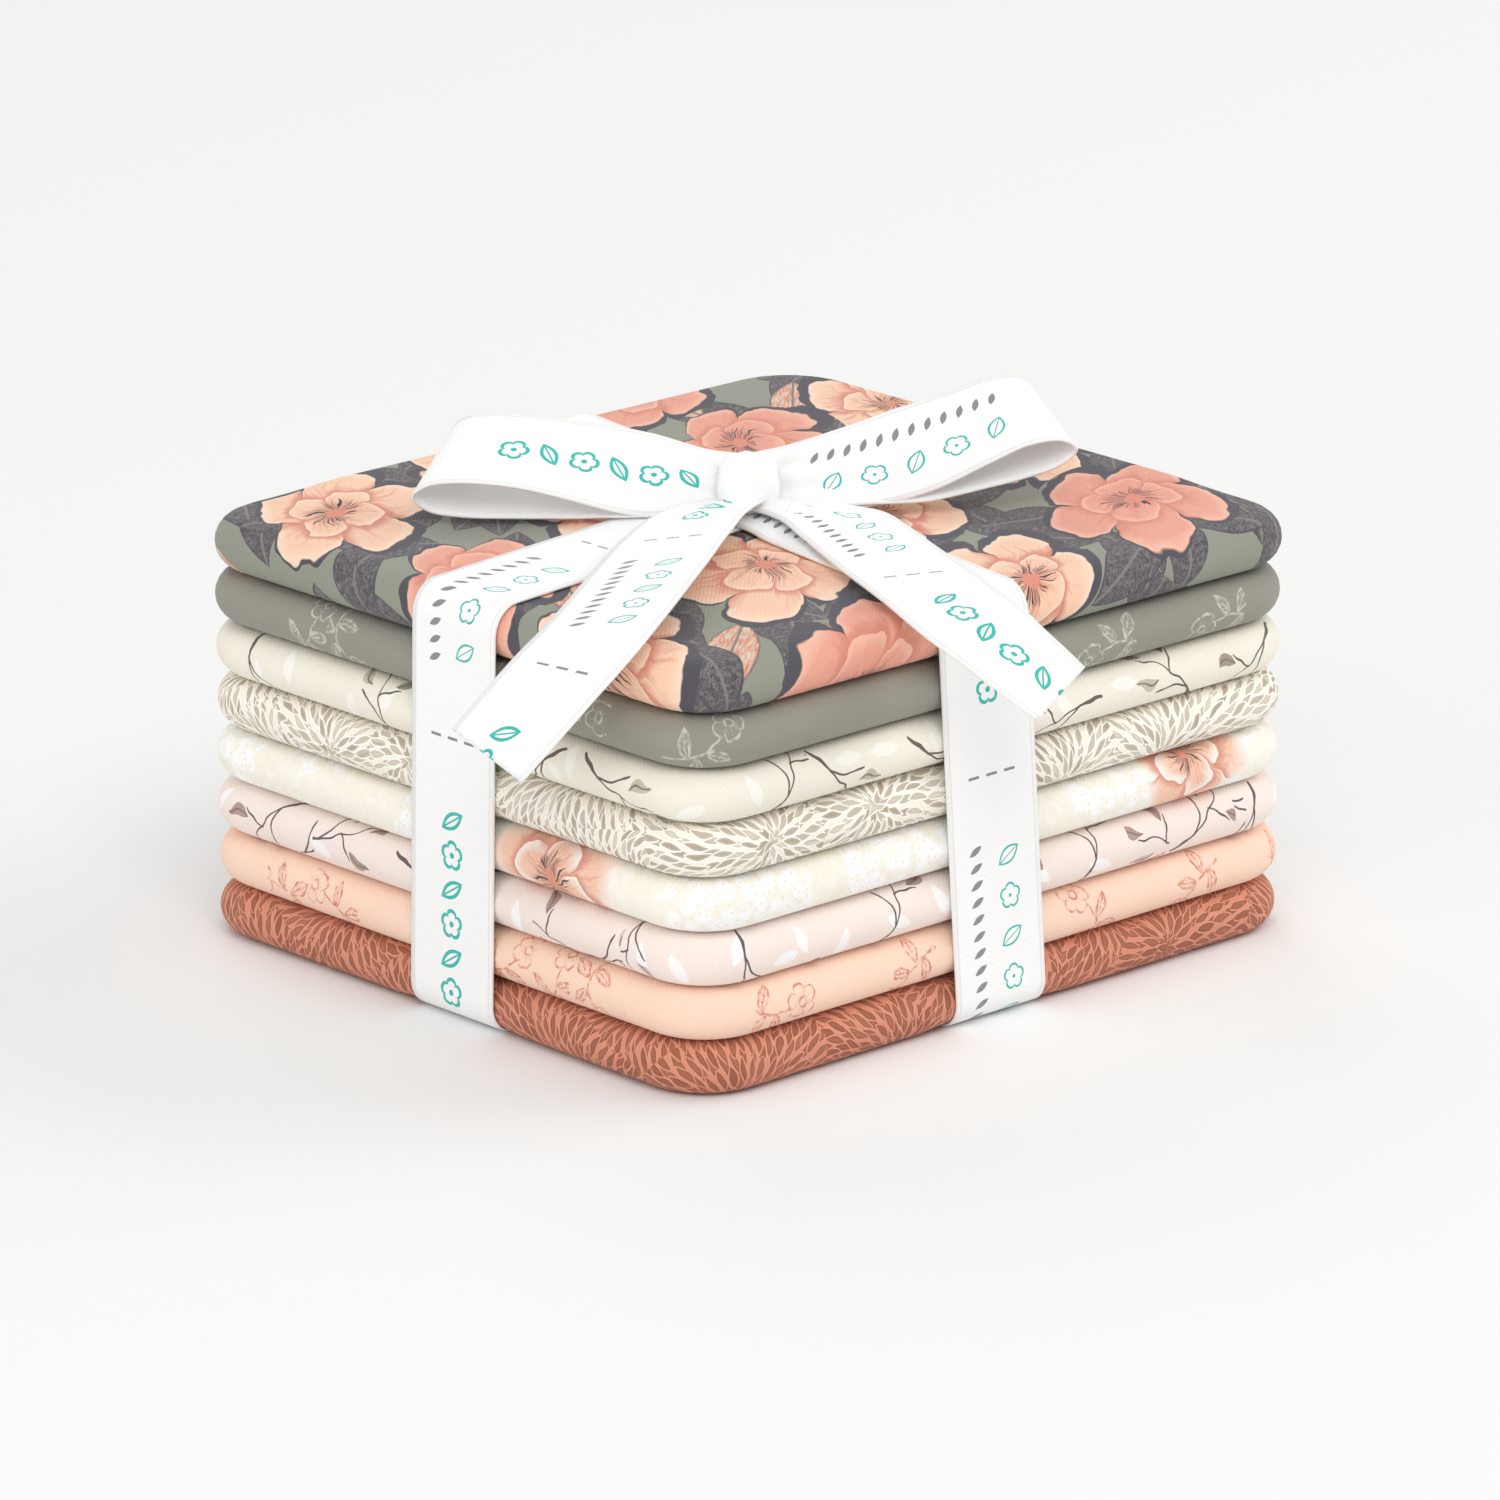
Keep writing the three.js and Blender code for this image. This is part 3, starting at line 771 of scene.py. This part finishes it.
def blossom(t, local, c):
    # a wide open flower: its colour, where it is, and where it throws a drawn shadow
    bent = wavered(t, local, 2.6, 2.0, bloom["waver"])
    x, y, number = node(t, "SeparateXYZ", [bent]).node.outputs
    # each flower is seen from a different side, its heart off its middle
    lean = node(t, "Math SINE", [node(t, "Math MULTIPLY", [number, 2.4])])
    away = node(t, "VectorMath LENGTH", [node(t, "CombineXYZ", [x, y, 0.0])], 1)
    shift = node(t, "Math MULTIPLY_ADD", [away, -bloom["lean"], bloom["lean"]])
    y = node(t, "Math MULTIPLY_ADD", [lean, shift, y])
    flat = node(t, "CombineXYZ", [x, y, 0.0])
    radius, angle = polar(t, flat)
    swirl = node(t, "Math MULTIPLY_ADD", [radius, bloom["swirl"], angle])
    outerEdge, outerSide = petals(t, swirl, radius, *bloom["outer"])
    innerSwirl = node(t, "Math ADD", [swirl, bloom["innerTurn"]])
    innerEdge, innerSide = petals(t, innerSwirl, radius, *bloom["inner"])
    # streaks run out along the petals, other ones on each flower
    way = node(t, "VectorMath NORMALIZE", [flat])
    depth = node(t, "Math MULTIPLY_ADD", [radius, 1.3, number])
    streakPlace = node(t, "VectorMath MULTIPLY_ADD",
                       [way, (5.0, 5.0, 0), node(t, "CombineXYZ", [0.0, 0.0, depth])])
    streak = node(t, "TexNoise", {"Vector": streakPlace, "Scale": 2.4, "Detail": 3.0})
    outerFade = node(t, "Math MULTIPLY_ADD", [streak, 1.5, radius])
    innerFade = node(t, "Math MULTIPLY_ADD", [streak, 1.2, radius])
    outer = painted(t, c["deep"], c["petal"], outerFade, 0.8, 1.35)
    outer = painted(t, outer, c["rim"], outerEdge, c["rimWidth"], 0.0)
    outer = painted(t, outer, c["deep"], outerSide, -0.34, -0.47)
    outer = painted(t, outer, c["deep"], innerEdge, -0.12, -0.01)
    inner = painted(t, c["deep"], c["petal"], innerFade, 0.55, 0.95)
    inner = painted(t, inner, c["rim"], innerEdge, c["rimWidth"] * 0.7, 0.0)
    inner = painted(t, inner, c["deep"], innerSide, -0.36, -0.48)
    colour = painted(t, outer, inner, innerEdge, -0.005, 0.005)
    # dark stamens round the heart
    hairPlace = node(t, "VectorMath MULTIPLY", [way, (bloom["hairs"], bloom["hairs"], 0)])
    hair = node(t, "TexNoise", {"Vector": hairPlace, "Scale": 1.0, "Detail": 0.0})
    reach = node(t, "Math MULTIPLY_ADD", [hair, 0.5, -0.08])
    near = node(t, "Math GREATER_THAN", [reach, radius])
    thick = node(t, "Math GREATER_THAN", [hair, bloom["hairShare"]])
    colour = node(t, "MixRGB", [node(t, "Math MULTIPLY", [near, thick]), colour, c["stamen"]])
    colour = painted(t, colour, c["heart"], radius, bloom["heart"], bloom["heart"] * 0.85)
    mask = node(t, "MapRange", [outerEdge, -bloom["edge"], bloom["edge"]])
    # the shadow is wider on one side
    side = node(t, "Math SINE", [node(t, "Math ADD", [swirl, number])])
    reach = node(t, "Math MULTIPLY_ADD", [side, *bloom["shadow"]])
    return colour, mask, node(t, "Math GREATER_THAN", [outerEdge, reach])


# places are in the print's own plan: across the view from the front, and away from it
floral = {
    "turn": photoView["azimuth"], "stretch": 1.7, "leafShare": 0.88, "bud": (0.22, 1.2, 0.0),
    "leaves": [(3, 19.0, 19.0, 10.0), (8, 20.0, 20.0, 9.5), (5, 21.0, 18.0, 9.0)],
    "blossoms": [
        # across, away, radius, turn, in staggered rows
        (-24, 49, 18, 40), (26, 47, 17, 10), (-47, 24, 19, 150), (2, 27, 18, 260),
        (49, 25, 18, 300), (-73, -1, 18, 80), (71, 1, 19, 200), (-25, 1, 17, 20),
        (23, -2, 18, 120), (-48, -26, 17, 190), (1, -25, 19, 330), (47, -24, 17, 70),
        (25, -49, 18, 240), (-25, -50, 18, 100),
    ],
}


def floralPrint(t, place, c):
    # large peach and coral blossoms over mottled charcoal leaves on sage. The drawing is longer
    # from front to back than across
    plan = node(t, "Mapping", [place, (0, 0, 0), (0, 0, math.radians(floral["turn"])),
                               (1, floral["stretch"], 1)], vector_type="TEXTURE")
    colour = c["ground"]
    grain = node(t, "TexNoise", {"Vector": plan, "Scale": 1.3, "Detail": 3.0, "Roughness": 0.8})
    scratch = node(t, "TexNoise", {"Vector": plan, "Scale": 0.55, "Detail": 4.0, "Distortion": 1.5})
    scratch = node(t, "Math ABSOLUTE", [node(t, "Math SUBTRACT", [scratch, 0.5])])
    mottled = painted(t, c["dark"], c["darkPale"], grain, 0.42, 0.66)
    mottled = painted(t, mottled, c["scratch"], scratch, 0.016, 0.006)
    for seed, pitch, length, width in floral["leaves"]:
        own, numbers = scattered(t, plan, pitch, 0.85, seed)
        edge, across, _ = leafEdge(t, own, length, width)
        # here and there a bud, streaked along its length, in place of a leaf
        bud = node(t, "Math GREATER_THAN", [numbers[1], floral["leafShare"]])
        streak = node(t, "TexNoise", {
            "Vector": node(t, "VectorMath MULTIPLY", [own, floral["bud"]]),
            "Scale": 1.5, "Detail": 4.0, "Roughness": 0.7, "Distortion": 0.5})
        budInk = painted(t, c["deep"], c["cream"], streak, 0.44, 0.56)
        leaf = node(t, "MixRGB", [bud, mottled, budInk])
        leaf = painted(t, leaf, c["vein"], across, 0.32, 0.18)
        rim = node(t, "Math MULTIPLY", [node(t, "MapRange", [edge, 0.5, 0.2]), 0.75])
        leaf = node(t, "MixRGB", [rim, leaf, c["shadow"]])
        colour = painted(t, colour, leaf, edge, -0.05, 0.05)
    local = stamped(t, plan, floral["blossoms"])
    # every third blossom is coral
    number = node(t, "SeparateXYZ", [local], 2)
    third = node(t, "Math LESS_THAN", [node(t, "Math MODULO", [number, 3.0]), 0.5])
    c = dict(c, petal=node(t, "MixRGB", [third, c["petal"], c["coral"]]),
             rim=node(t, "MixRGB", [third, c["rim"], c["coralRim"]]))
    flower, mask, shade = blossom(t, local, c)
    colour = node(t, "MixRGB", [shade, colour, c["shadow"]])
    return node(t, "MixRGB", [mask, colour, flower])


sprig = {
    "pitch": 14.5, "line": 0.26, "stem": 5.0, "bend": 0.045, "veinStep": 0.85, "vein": 0.14,
    "sparse": 0.34, "crowdAt": -45.0, "crowd": 24.0,
    # middle, turn, length and width of each leaf
    "leaves": [((-2.8, 3), 65, 5.8, 2.5), ((-4.2, -2.4), 235, 5.8, 2.6), ((1.1, -2.2), 300, 5, 2.2)],
    "flower": (6.2, 1.6), "flowerSize": 3.5, "heart": 0.24, "hairs": 0.55,
}


def sprigPrint(t, place, c):
    # fine sprigs drawn in line: a stem, three leaves and an open flower
    line = sprig["line"]
    own, numbers = scattered(t, place, sprig["pitch"], 0.7, c["seed"], True)
    own = wavered(t, own, 0.35, 1.0, 1.6)
    x, y, _ = node(t, "SeparateXYZ", [own]).node.outputs
    arch = node(t, "Math MULTIPLY_ADD", [node(t, "Math MULTIPLY", [x, x]), -sprig["bend"], y])
    stem = node(t, "Math LESS_THAN", [node(t, "Math ABSOLUTE", [arch]), line])
    ink = node(t, "Math MULTIPLY", [stem, node(t, "Math LESS_THAN", [x, sprig["stem"]])])
    for middle, turn, length, width in sprig["leaves"]:
        edge, across, along = leafEdge(t, own, length, width, middle, turn)
        inside = node(t, "Math GREATER_THAN", [edge, 0.0])
        outline = node(t, "Math COMPARE", [edge, line * 0.7, line])
        rib = node(t, "Math LESS_THAN", [across, line * 0.6])
        veins = node(t, "Math MULTIPLY_ADD", [across, -0.9, along])
        veins = node(t, "Math ABSOLUTE", [node(t, "Math MODULO", [veins, sprig["veinStep"]])])
        veins = node(t, "Math LESS_THAN", [veins, sprig["vein"]])
        rib = node(t, "Math MULTIPLY", [node(t, "Math MAXIMUM", [rib, veins]), inside])
        ink = covered(t, ink, inside, node(t, "Math MAXIMUM", [outline, rib]))
    size = sprig["flowerSize"]
    line = line / size
    flower = node(t, "Mapping", [own, (*sprig["flower"], 0), (0, 0, 0), (size, size, 1)],
                  vector_type="TEXTURE")
    radius, angle = polar(t, flower)
    edge, side = petals(t, angle, radius, 5, 0.6, 1.0)
    inside = node(t, "Math GREATER_THAN", [edge, 0.0])
    outline = node(t, "Math COMPARE", [edge, line * 0.7, line])
    ring = node(t, "Math COMPARE", [radius, sprig["heart"], line * 0.9])
    parting = node(t, "Math COMPARE", [side, 0.49, 0.035])
    hairs = node(t, "Math LESS_THAN", [node(t, "Math PINGPONG", [side, 0.16]), 0.02])
    short = node(t, "Math LESS_THAN", [radius, sprig["hairs"]])
    split = node(t, "Math MAXIMUM", [parting, node(t, "Math MULTIPLY", [hairs, short])])
    beyond = node(t, "Math GREATER_THAN", [radius, sprig["heart"]])
    split = node(t, "Math MULTIPLY", [node(t, "Math MULTIPLY", [split, inside]), beyond])
    drawn = node(t, "Math MAXIMUM", [node(t, "Math MAXIMUM", [outline, ring]), split])
    ink = covered(t, ink, inside, drawn)
    # sprigs crowd in one stretch of the print and stand apart elsewhere
    run = node(t, "SeparateXYZ", [place])
    crowd = node(t, "Math COMPARE", [run, sprig["crowdAt"], sprig["crowd"]])
    kept = node(t, "Math LESS_THAN", [numbers[1], sprig["sparse"]])
    kept = node(t, "Math MAXIMUM", [kept, crowd])
    chalk = node(t, "TexNoise", {"Vector": place, "Scale": 0.8, "Detail": 2.0})
    strength = node(t, "Math MULTIPLY", [node(t, "MapRange", [chalk, 0.3, 0.6]), kept])
    ink = node(t, "Math MULTIPLY", [ink, strength])
    return node(t, "MixRGB", [ink, c["ground"], c["line"]])


twig = {
    "pitch": 25.0, "whitePitch": 17.0, "white": (7.0, 2.6), "whiteShare": 0.72,
    # middle, turn, length, bend and thickness of each branch
    "branches": [((-9, -1.5), 0, 18.0, 0.018, 0.34), ((-3, -1), 38, 8.0, 0.03, 0.3),
                 ((2, 1), -34, 6.0, -0.03, 0.27)],
    "leaves": [((11.3, 4.6), 35, 6.0, 2.6, "leaf"), ((4.8, 6.5), 62, 5.2, 2.2, "leafPale"),
               ((8.4, -2.9), -30, 5.4, 2.4, "leaf")],
}


def twigPrint(t, place, c):
    # dark branching twigs with taupe leaves, and white leaves beside them
    own, numbers = scattered(t, place, twig["whitePitch"], 1.0, c["seed"] + 2, True)
    edge, _, _ = leafEdge(t, own, *twig["white"])
    shown = node(t, "Math LESS_THAN", [numbers[1], twig["whiteShare"]])
    strength = node(t, "Math MULTIPLY_ADD", [numbers[2], 0.3, 0.7])
    white = node(t, "Math MULTIPLY", [node(t, "MapRange", [edge, 0.0, 0.08]), shown])
    white = node(t, "Math MULTIPLY", [white, strength])
    colour = node(t, "MixRGB", [white, c["ground"], c["white"]])
    own, _ = scattered(t, place, twig["pitch"], 0.8, c["seed"], True)
    own = wavered(t, own, 0.16, 1.0, 4.5)
    ink = 0.0
    for middle, turn, length, bend, thick in twig["branches"]:
        branch = node(t, "Mapping", [own, (*middle, 0), (0, 0, math.radians(turn))],
                      vector_type="TEXTURE")
        x, y, _ = node(t, "SeparateXYZ", [branch]).node.outputs
        arch = node(t, "Math MULTIPLY_ADD", [node(t, "Math MULTIPLY", [x, x]), -bend, y])
        # each branch tapers to its tip
        thin = node(t, "Math MULTIPLY_ADD", [x, -0.5 * thick / length, thick])
        line = node(t, "Math GREATER_THAN", [thin, node(t, "Math ABSOLUTE", [arch])])
        whole = node(t, "Math COMPARE", [x, length / 2, length / 2])
        ink = node(t, "Math MAXIMUM", [ink, node(t, "Math MULTIPLY", [line, whole])])
    colour = node(t, "MixRGB", [ink, colour, c["twig"]])
    for middle, turn, length, width, ink in twig["leaves"]:
        edge, across, _ = leafEdge(t, own, length, width, middle, turn)
        leaf = painted(t, c[ink], c["rib"], across, 0.24, 0.1)
        colour = painted(t, colour, leaf, edge, 0.0, 0.06)
    return colour


# luck is how far a dash may be off its even place, across and along, as a share of its cell
fan = {"pitch": 36.0, "step": 2.5, "side": 2.3, "luck": (0.26, 0.16), "halo": 0.3}


def fanPrint(t, place, c):
    # petal-shaped dashes fanning out in rings from scattered middles
    own, numbers = scattered(t, place, fan["pitch"], 0.85, c["seed"])
    radius, angle = polar(t, wavered(t, own, 0.12, 2.0, 3.6))
    turns = node(t, "Math MULTIPLY_ADD", [angle, 0.5 / math.pi, 0.5])
    colour = c["ground"]
    ring = 2 * fan["step"]
    luckAside, luckAlong = fan["luck"]
    # two sets of rings, the second between the first
    for shift in (0.0, 0.5):
        row, along = cells(t, node(t, "Math MULTIPLY_ADD", [radius, 1 / ring, shift]))
        middle = node(t, "Math MULTIPLY_ADD", [row, ring, ring * (0.5 - shift)])
        count = node(t, "Math MULTIPLY_ADD", [middle, 2 * math.pi / fan["side"], 3.0])
        count = node(t, "Math FLOOR", [count])
        column, aside = cells(t, node(t, "Math MULTIPLY_ADD", [turns, count, shift]))
        chance = node(t, "CombineXYZ", [row, column, node(t, "Math ADD", [numbers[2], shift])])
        chance = node(t, "TexWhiteNoise", {"Vector": chance}, 1)
        luck = node(t, "SeparateColor", [chance]).node.outputs
        aside = node(t, "Math MULTIPLY_ADD", [luck[0], luckAside, aside])
        aside = node(t, "Math ADD", [aside, -luckAside / 2])
        turned = node(t, "Math MULTIPLY", [aside, 2 * math.pi])
        across = node(t, "Math DIVIDE", [node(t, "Math MULTIPLY", [radius, turned]), count])
        along = node(t, "Math MULTIPLY_ADD", [luck[1], luckAlong, along])
        along = node(t, "Math ADD", [along, -luckAlong / 2])
        along = node(t, "Math MULTIPLY", [along, ring])
        dash = node(t, "CombineXYZ", [along, across, 0.0])
        edge, _, _ = leafEdge(t, dash, c["long"], c["wide"])
        tone = node(t, "MixRGB", [luck[2], c["dash"], c["dashPale"]])
        rim = node(t, "Math LESS_THAN", [edge, 0.3])
        tone = node(t, "MixRGB", [node(t, "Math MULTIPLY", [rim, 0.45]), tone, c["dashEdge"]])
        colour = painted(t, colour, c["halo"], edge, -fan["halo"], -0.22)
        colour = painted(t, colour, tone, edge, -0.03, 0.05)
    return colour


ivory = {"seed": 5, "pitch": 38.0, "head": 20.0, "lumps": 9.0, "floret": 3.2,
         "blossoms": [(-36, 3, 19, 75), (120, 7, 16, 200), (330, 6, 18, 100)]}


def ivoryPrint(t, place, c):
    # white many-flowered heads on ivory, with a peach blossom here and there
    head, _ = scattered(t, place, ivory["pitch"], 0.8, ivory["seed"])
    lumps = node(t, "TexNoise", {"Vector": place, "Scale": 0.16, "Detail": 2.0})
    away = node(t, "VectorMath LENGTH", [head], 1)
    away = node(t, "Math MULTIPLY_ADD", [lumps, ivory["lumps"], away])
    florets, specks = [
        node(t, "TexVoronoi", {"Vector": place, "Scale": fineness / ivory["floret"]},
             voronoi_dimensions="2D") for fineness in (1.0, 1.7)]
    cream = painted(t, c["white"], c["veil"], florets, 0.28, 0.62)
    cream = painted(t, cream, c["speck"], specks, 0.2, 0.12)
    faint = node(t, "TexNoise", {"Vector": place, "Scale": 0.5, "Detail": 3.0})
    ground = painted(t, c["ground"], c["groundPale"], faint, 0.45, 0.7)
    colour = painted(t, ground, cream, away, ivory["head"] + 0.8, ivory["head"])
    flower, mask, _ = blossom(t, stamped(t, place, ivory["blossoms"]), c)
    return node(t, "MixRGB", [mask, colour, flower])


tape = {
    "field": 64.0, "selvedge": 10.1, "selvedgeWidth": 0.2,
    "dash": 2.6, "dashWidth": 0.55, "dashStep": 4.4, "dashReach": 6.4,
    "large": {"count": 6, "step": 6.5, "at": 0.0, "size": 6.6, "wide": 3.2, "lean": 58, "line": 0.36},
    "small": {"count": 5, "step": 7.8, "at": -3.2, "size": 5.8, "wide": 3.2, "lean": 58, "line": 0.22},
    "grey": {"count": 12, "step": 3.25, "at": 4.8, "size": 3.4, "wide": 1.25, "lean": 62},
}


def tapePrint(t, place, c):
    # rows of small printed marks along the ribbon in fields parted by a line of dashes: teal leaves
    # and flowers in turn, large in one field, and small below a row of grey dashes in the next
    run, side, _ = node(t, "SeparateXYZ", [place]).node.outputs
    fields = node(t, "Math MULTIPLY", [run, 1 / tape["field"]])
    field = node(t, "Math FLOOR", [fields])
    within = node(t, "Math SUBTRACT", [fields, field])
    within = node(t, "Math MULTIPLY", [within, tape["field"]])
    second = node(t, "Math GREATER_THAN", [node(t, "Math FLOORED_MODULO", [field, 2.0]), 0.5])
    first = node(t, "Math SUBTRACT", [1.0, second])
    # the woven edge on each side
    aside = node(t, "Math ABSOLUTE", [side])
    selvedge = node(t, "Math COMPARE", [aside, tape["selvedge"], tape["selvedgeWidth"]])
    colour = node(t, "MixRGB", [selvedge, c["ground"], c["selvedge"]])
    # the parting dashes
    line = node(t, "Math LESS_THAN", [within, tape["dashWidth"]])
    step = node(t, "Math ADD", [side, tape["dash"] / 2])
    step = node(t, "Math FLOORED_MODULO", [step, tape["dashStep"]])
    step = node(t, "Math LESS_THAN", [step, tape["dash"]])
    near = node(t, "Math COMPARE", [side, 0.0, tape["dashReach"]])
    line = node(t, "Math MULTIPLY", [node(t, "Math MULTIPLY", [line, step]), near])
    colour = node(t, "MixRGB", [line, colour, c["grey"]])
    for kind, wanted in (("large", first), ("small", second), ("grey", second)):
        k = tape[kind]
        start = tape["field"] / 2 - k["count"] * k["step"] / 2
        along = node(t, "Math MULTIPLY_ADD", [within, 1 / k["step"], -start / k["step"]])
        number, x = cells(t, along)
        printed = node(t, "Math COMPARE", [number, (k["count"] - 1) / 2, k["count"] / 2 - 0.4])
        x = node(t, "Math MULTIPLY", [x, k["step"]])
        y = node(t, "Math SUBTRACT", [side, k["at"]])
        own = node(t, "CombineXYZ", [x, y, 0.0])
        edge, across, _ = leafEdge(t, own, k["size"], k["wide"], turn=k["lean"])
        mark = node(t, "Math GREATER_THAN", [edge, 0.0])
        if kind != "grey":
            outline = node(t, "Math COMPARE", [edge, k["line"], k["line"]])
            rib = node(t, "Math LESS_THAN", [across, k["line"] * 0.5])
            leaf = node(t, "Math MAXIMUM", [outline, node(t, "Math MULTIPLY", [rib, mark])])
            radius, angle = polar(t, own)
            edge, _ = petals(t, angle, radius, 5, k["size"] * 0.3, k["size"] * 0.44)
            outline = node(t, "Math COMPARE", [edge, k["line"], k["line"]])
            heart = node(t, "Math LESS_THAN", [radius, k["line"] * 1.6])
            flower = node(t, "Math MAXIMUM", [outline, heart])
            odd = node(t, "Math GREATER_THAN", [node(t, "Math FLOORED_MODULO", [number, 2.0]), 0.5])
            mark = node(t, "Mix", {0: odd, 2: leaf, 3: flower})
        mark = node(t, "Math MULTIPLY", [node(t, "Math MULTIPLY", [mark, wanted]), printed])
        colour = node(t, "MixRGB", [mark, colour, c["grey" if kind == "grey" else "teal"]])
    return colour


def wovenMaterial(name, drawPrint, c, w):
    # cloth woven from warp and weft threads, printed on its face
    colours = {key: linear(value) if isinstance(value, str) else value for key, value in c.items()}
    material = bpy.data.materials.new(name)
    material.use_nodes = True
    t = material.node_tree
    shader = t.nodes["Principled BSDF"]
    cloth = node(t, "UVMap", uv_map="cloth")
    place = node(t, "VectorMath SCALE", {0: cloth, "Scale": 1 / mm})
    colour = drawPrint(t, place, colours) if drawPrint else colours["ground"]
    x, y, _ = node(t, "SeparateXYZ", [place]).node.outputs
    warp = node(t, "Math SINE", [node(t, "Math MULTIPLY", [x, math.pi / w["warp"]])])
    weft = node(t, "Math SINE", [node(t, "Math MULTIPLY", [y, math.pi / w["weft"]])])
    weave = node(t, "Math MULTIPLY", [warp, weft])
    cloudy = node(t, "TexNoise", {"Vector": place, "Scale": w["cloud"], "Detail": 2.0})
    shade = node(t, "Math MULTIPLY_ADD", [weave, w["threadTone"], 1.0])
    shade = node(t, "Math MULTIPLY_ADD", [cloudy, w["cloudTone"], shade])
    shade = node(t, "Math ADD", [shade, -0.5 * w["cloudTone"]])
    shades = node(t, "CombineColor", [shade, shade, shade])
    toned = node(t, "MixRGB", [1.0, colour, shades], blend_type="MULTIPLY")
    t.links.new(toned, shader.inputs["Base Color"])
    bump = node(t, "Bump", {"Height": weave, "Strength": w["relief"], "Distance": w["depth"]})
    t.links.new(bump, shader.inputs["Normal"])
    for socket in ("Roughness", "Specular IOR Level", "Sheen Weight", "Sheen Roughness"):
        shader.inputs[socket].default_value = w[socket]
    return material


# quilting cotton is a plain weave: a matt face with a faint fuzz and an even grid of threads. They
# are too fine to show, so they are drawn at about twice their real spacing, 0.5 mm
cottonWeave = {
    "warp": 0.5, "weft": 0.5, "threadTone": 0.03, "cloud": 0.06, "cloudTone": 0.06,
    "relief": 0.35, "depth": 0.08 * mm,
    "Roughness": 0.88, "Specular IOR Level": 0.25, "Sheen Weight": 0.12, "Sheen Roughness": 0.5,
}
# cotton tape is closer woven and a little smoother. Its weft shows as fine ribs across the ribbon
tapeWeave = {
    "warp": 0.55, "weft": 1.1, "threadTone": 0.012, "cloud": 0.05, "cloudTone": 0.02,
    "relief": 0.3, "depth": 0.08 * mm,
    "Roughness": 0.8, "Specular IOR Level": 0.3, "Sheen Weight": 0.1, "Sheen Roughness": 0.5,
}

cottonInks = {
    "floral": {"ground": "#95978A", "dark": "#534F54", "darkPale": "#7A7577", "scratch": "#8F8B86",
               "vein": "#85827E", "shadow": "#55525A", "cream": "#DCCDB2", "deep": "#D98C78",
               "petal": "#F8CDB0", "coral": "#EBA691", "rim": "#FCDEC7", "coralRim": "#F5BFA8",
               "stamen": "#4A4446", "heart": "#E0907C", "rimWidth": 0.12},
    "sage": {"ground": "#97958A", "line": "#CBC9BB", "seed": 1},
    "sand": {"ground": "#F4EFE1", "twig": "#6D635B", "leaf": "#A59B8C", "leafPale": "#CBC2AF",
             "rib": "#857A6D", "white": "#FCFAF2", "seed": 4},
    "oat": {"ground": "#FAF4E6", "halo": "#FFFDF6", "dash": "#B2A391", "dashPale": "#E4DBCA",
            "dashEdge": "#CBBFAE", "long": 4.4, "wide": 1.12, "seed": 2},
    "ivory": {"ground": "#F9F4E6", "groundPale": "#FDFAF2", "white": "#FFFFFF", "veil": "#FAF5EA",
              "speck": "#F6EEE0", "deep": "#DE9884", "petal": "#F8CDB4", "rim": "#FFF8F2",
              "stamen": "#5A5150", "heart": "#E39B84", "rimWidth": 0.2},
    "blush": {"ground": "#F8E9E2", "twig": "#6B5F5F", "leaf": "#B59B95", "leafPale": "#DAC4BD",
              "rib": "#8F7774", "white": "#FFFFFF", "seed": 6},
    "peach": {"ground": "#FEDBC5", "line": "#DD8F78", "seed": 9},
    "terracotta": {"ground": "#DB9177", "halo": "#DF977E", "dash": "#A0624B", "dashPale": "#B37259",
                   "dashEdge": "#93573F", "long": 4.7, "wide": 1.3, "seed": 7},
}
cottonBacks = {"floral": "#A9A298", "sage": "#B1AFA6", "sand": "#F3EFE4", "oat": "#F4F0E4",
               "ivory": "#FAF7EE", "blush": "#F6EAE4", "peach": "#FBE0CF", "terracotta": "#D8A48F"}
cottonPrints = {"floral": floralPrint, "sage": sprigPrint, "sand": twigPrint, "oat": fanPrint,
                "ivory": ivoryPrint, "blush": twigPrint, "peach": sprigPrint,
                "terracotta": fanPrint}
tapeInks = {"ground": "#FCFCFB", "selvedge": "#EDEDEB", "teal": "#3FBFB3", "grey": "#8F8F90"}


# Pieces

for index, cotton in enumerate(cottons):
    name = cotton["name"]
    piece = layFatQuarter(cotton, index, quarter)
    piece.data.materials.append(wovenMaterial("printed cotton, " + name, cottonPrints[name],
                                              cottonInks[name], cottonWeave))
    piece.data.materials.append(wovenMaterial("back of printed cotton, " + name, None,
                                              {"ground": cottonBacks[name]}, cottonWeave))
    thicken(piece, quarter["ply"])
    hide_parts("fat_quarter_%d_%s" % (index + 1, name))
    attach(piece, "root")
print("fat quarters folded")

sheet = SheetMesh()
layStrip(sheet, bandRows(bandX, stackX, False), bandX["print"])
layStrip(sheet, bandRows(bandY, stackY, True), bandY["print"])
for loop in loops:
    layStrip(sheet, loopRows(loop), loop["print"])
for tail in tails:
    layStrip(sheet, tailRows(tail), tail["print"], tail["face"])
layKnot(sheet, knot)
ribbonPiece = sheet.build("ribbonBow")
ribbonPiece.data.materials.append(wovenMaterial("printed cotton tape", tapePrint, tapeInks,
                                                tapeWeave))
ribbonPiece.data.materials.append(wovenMaterial("back of cotton tape", None,
                                                {"ground": tapeInks["ground"]}, tapeWeave))
thicken(ribbonPiece, ribbonSize["thickness"])
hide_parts("ribbon")
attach(ribbonPiece, "root")
print("ribbon tied")
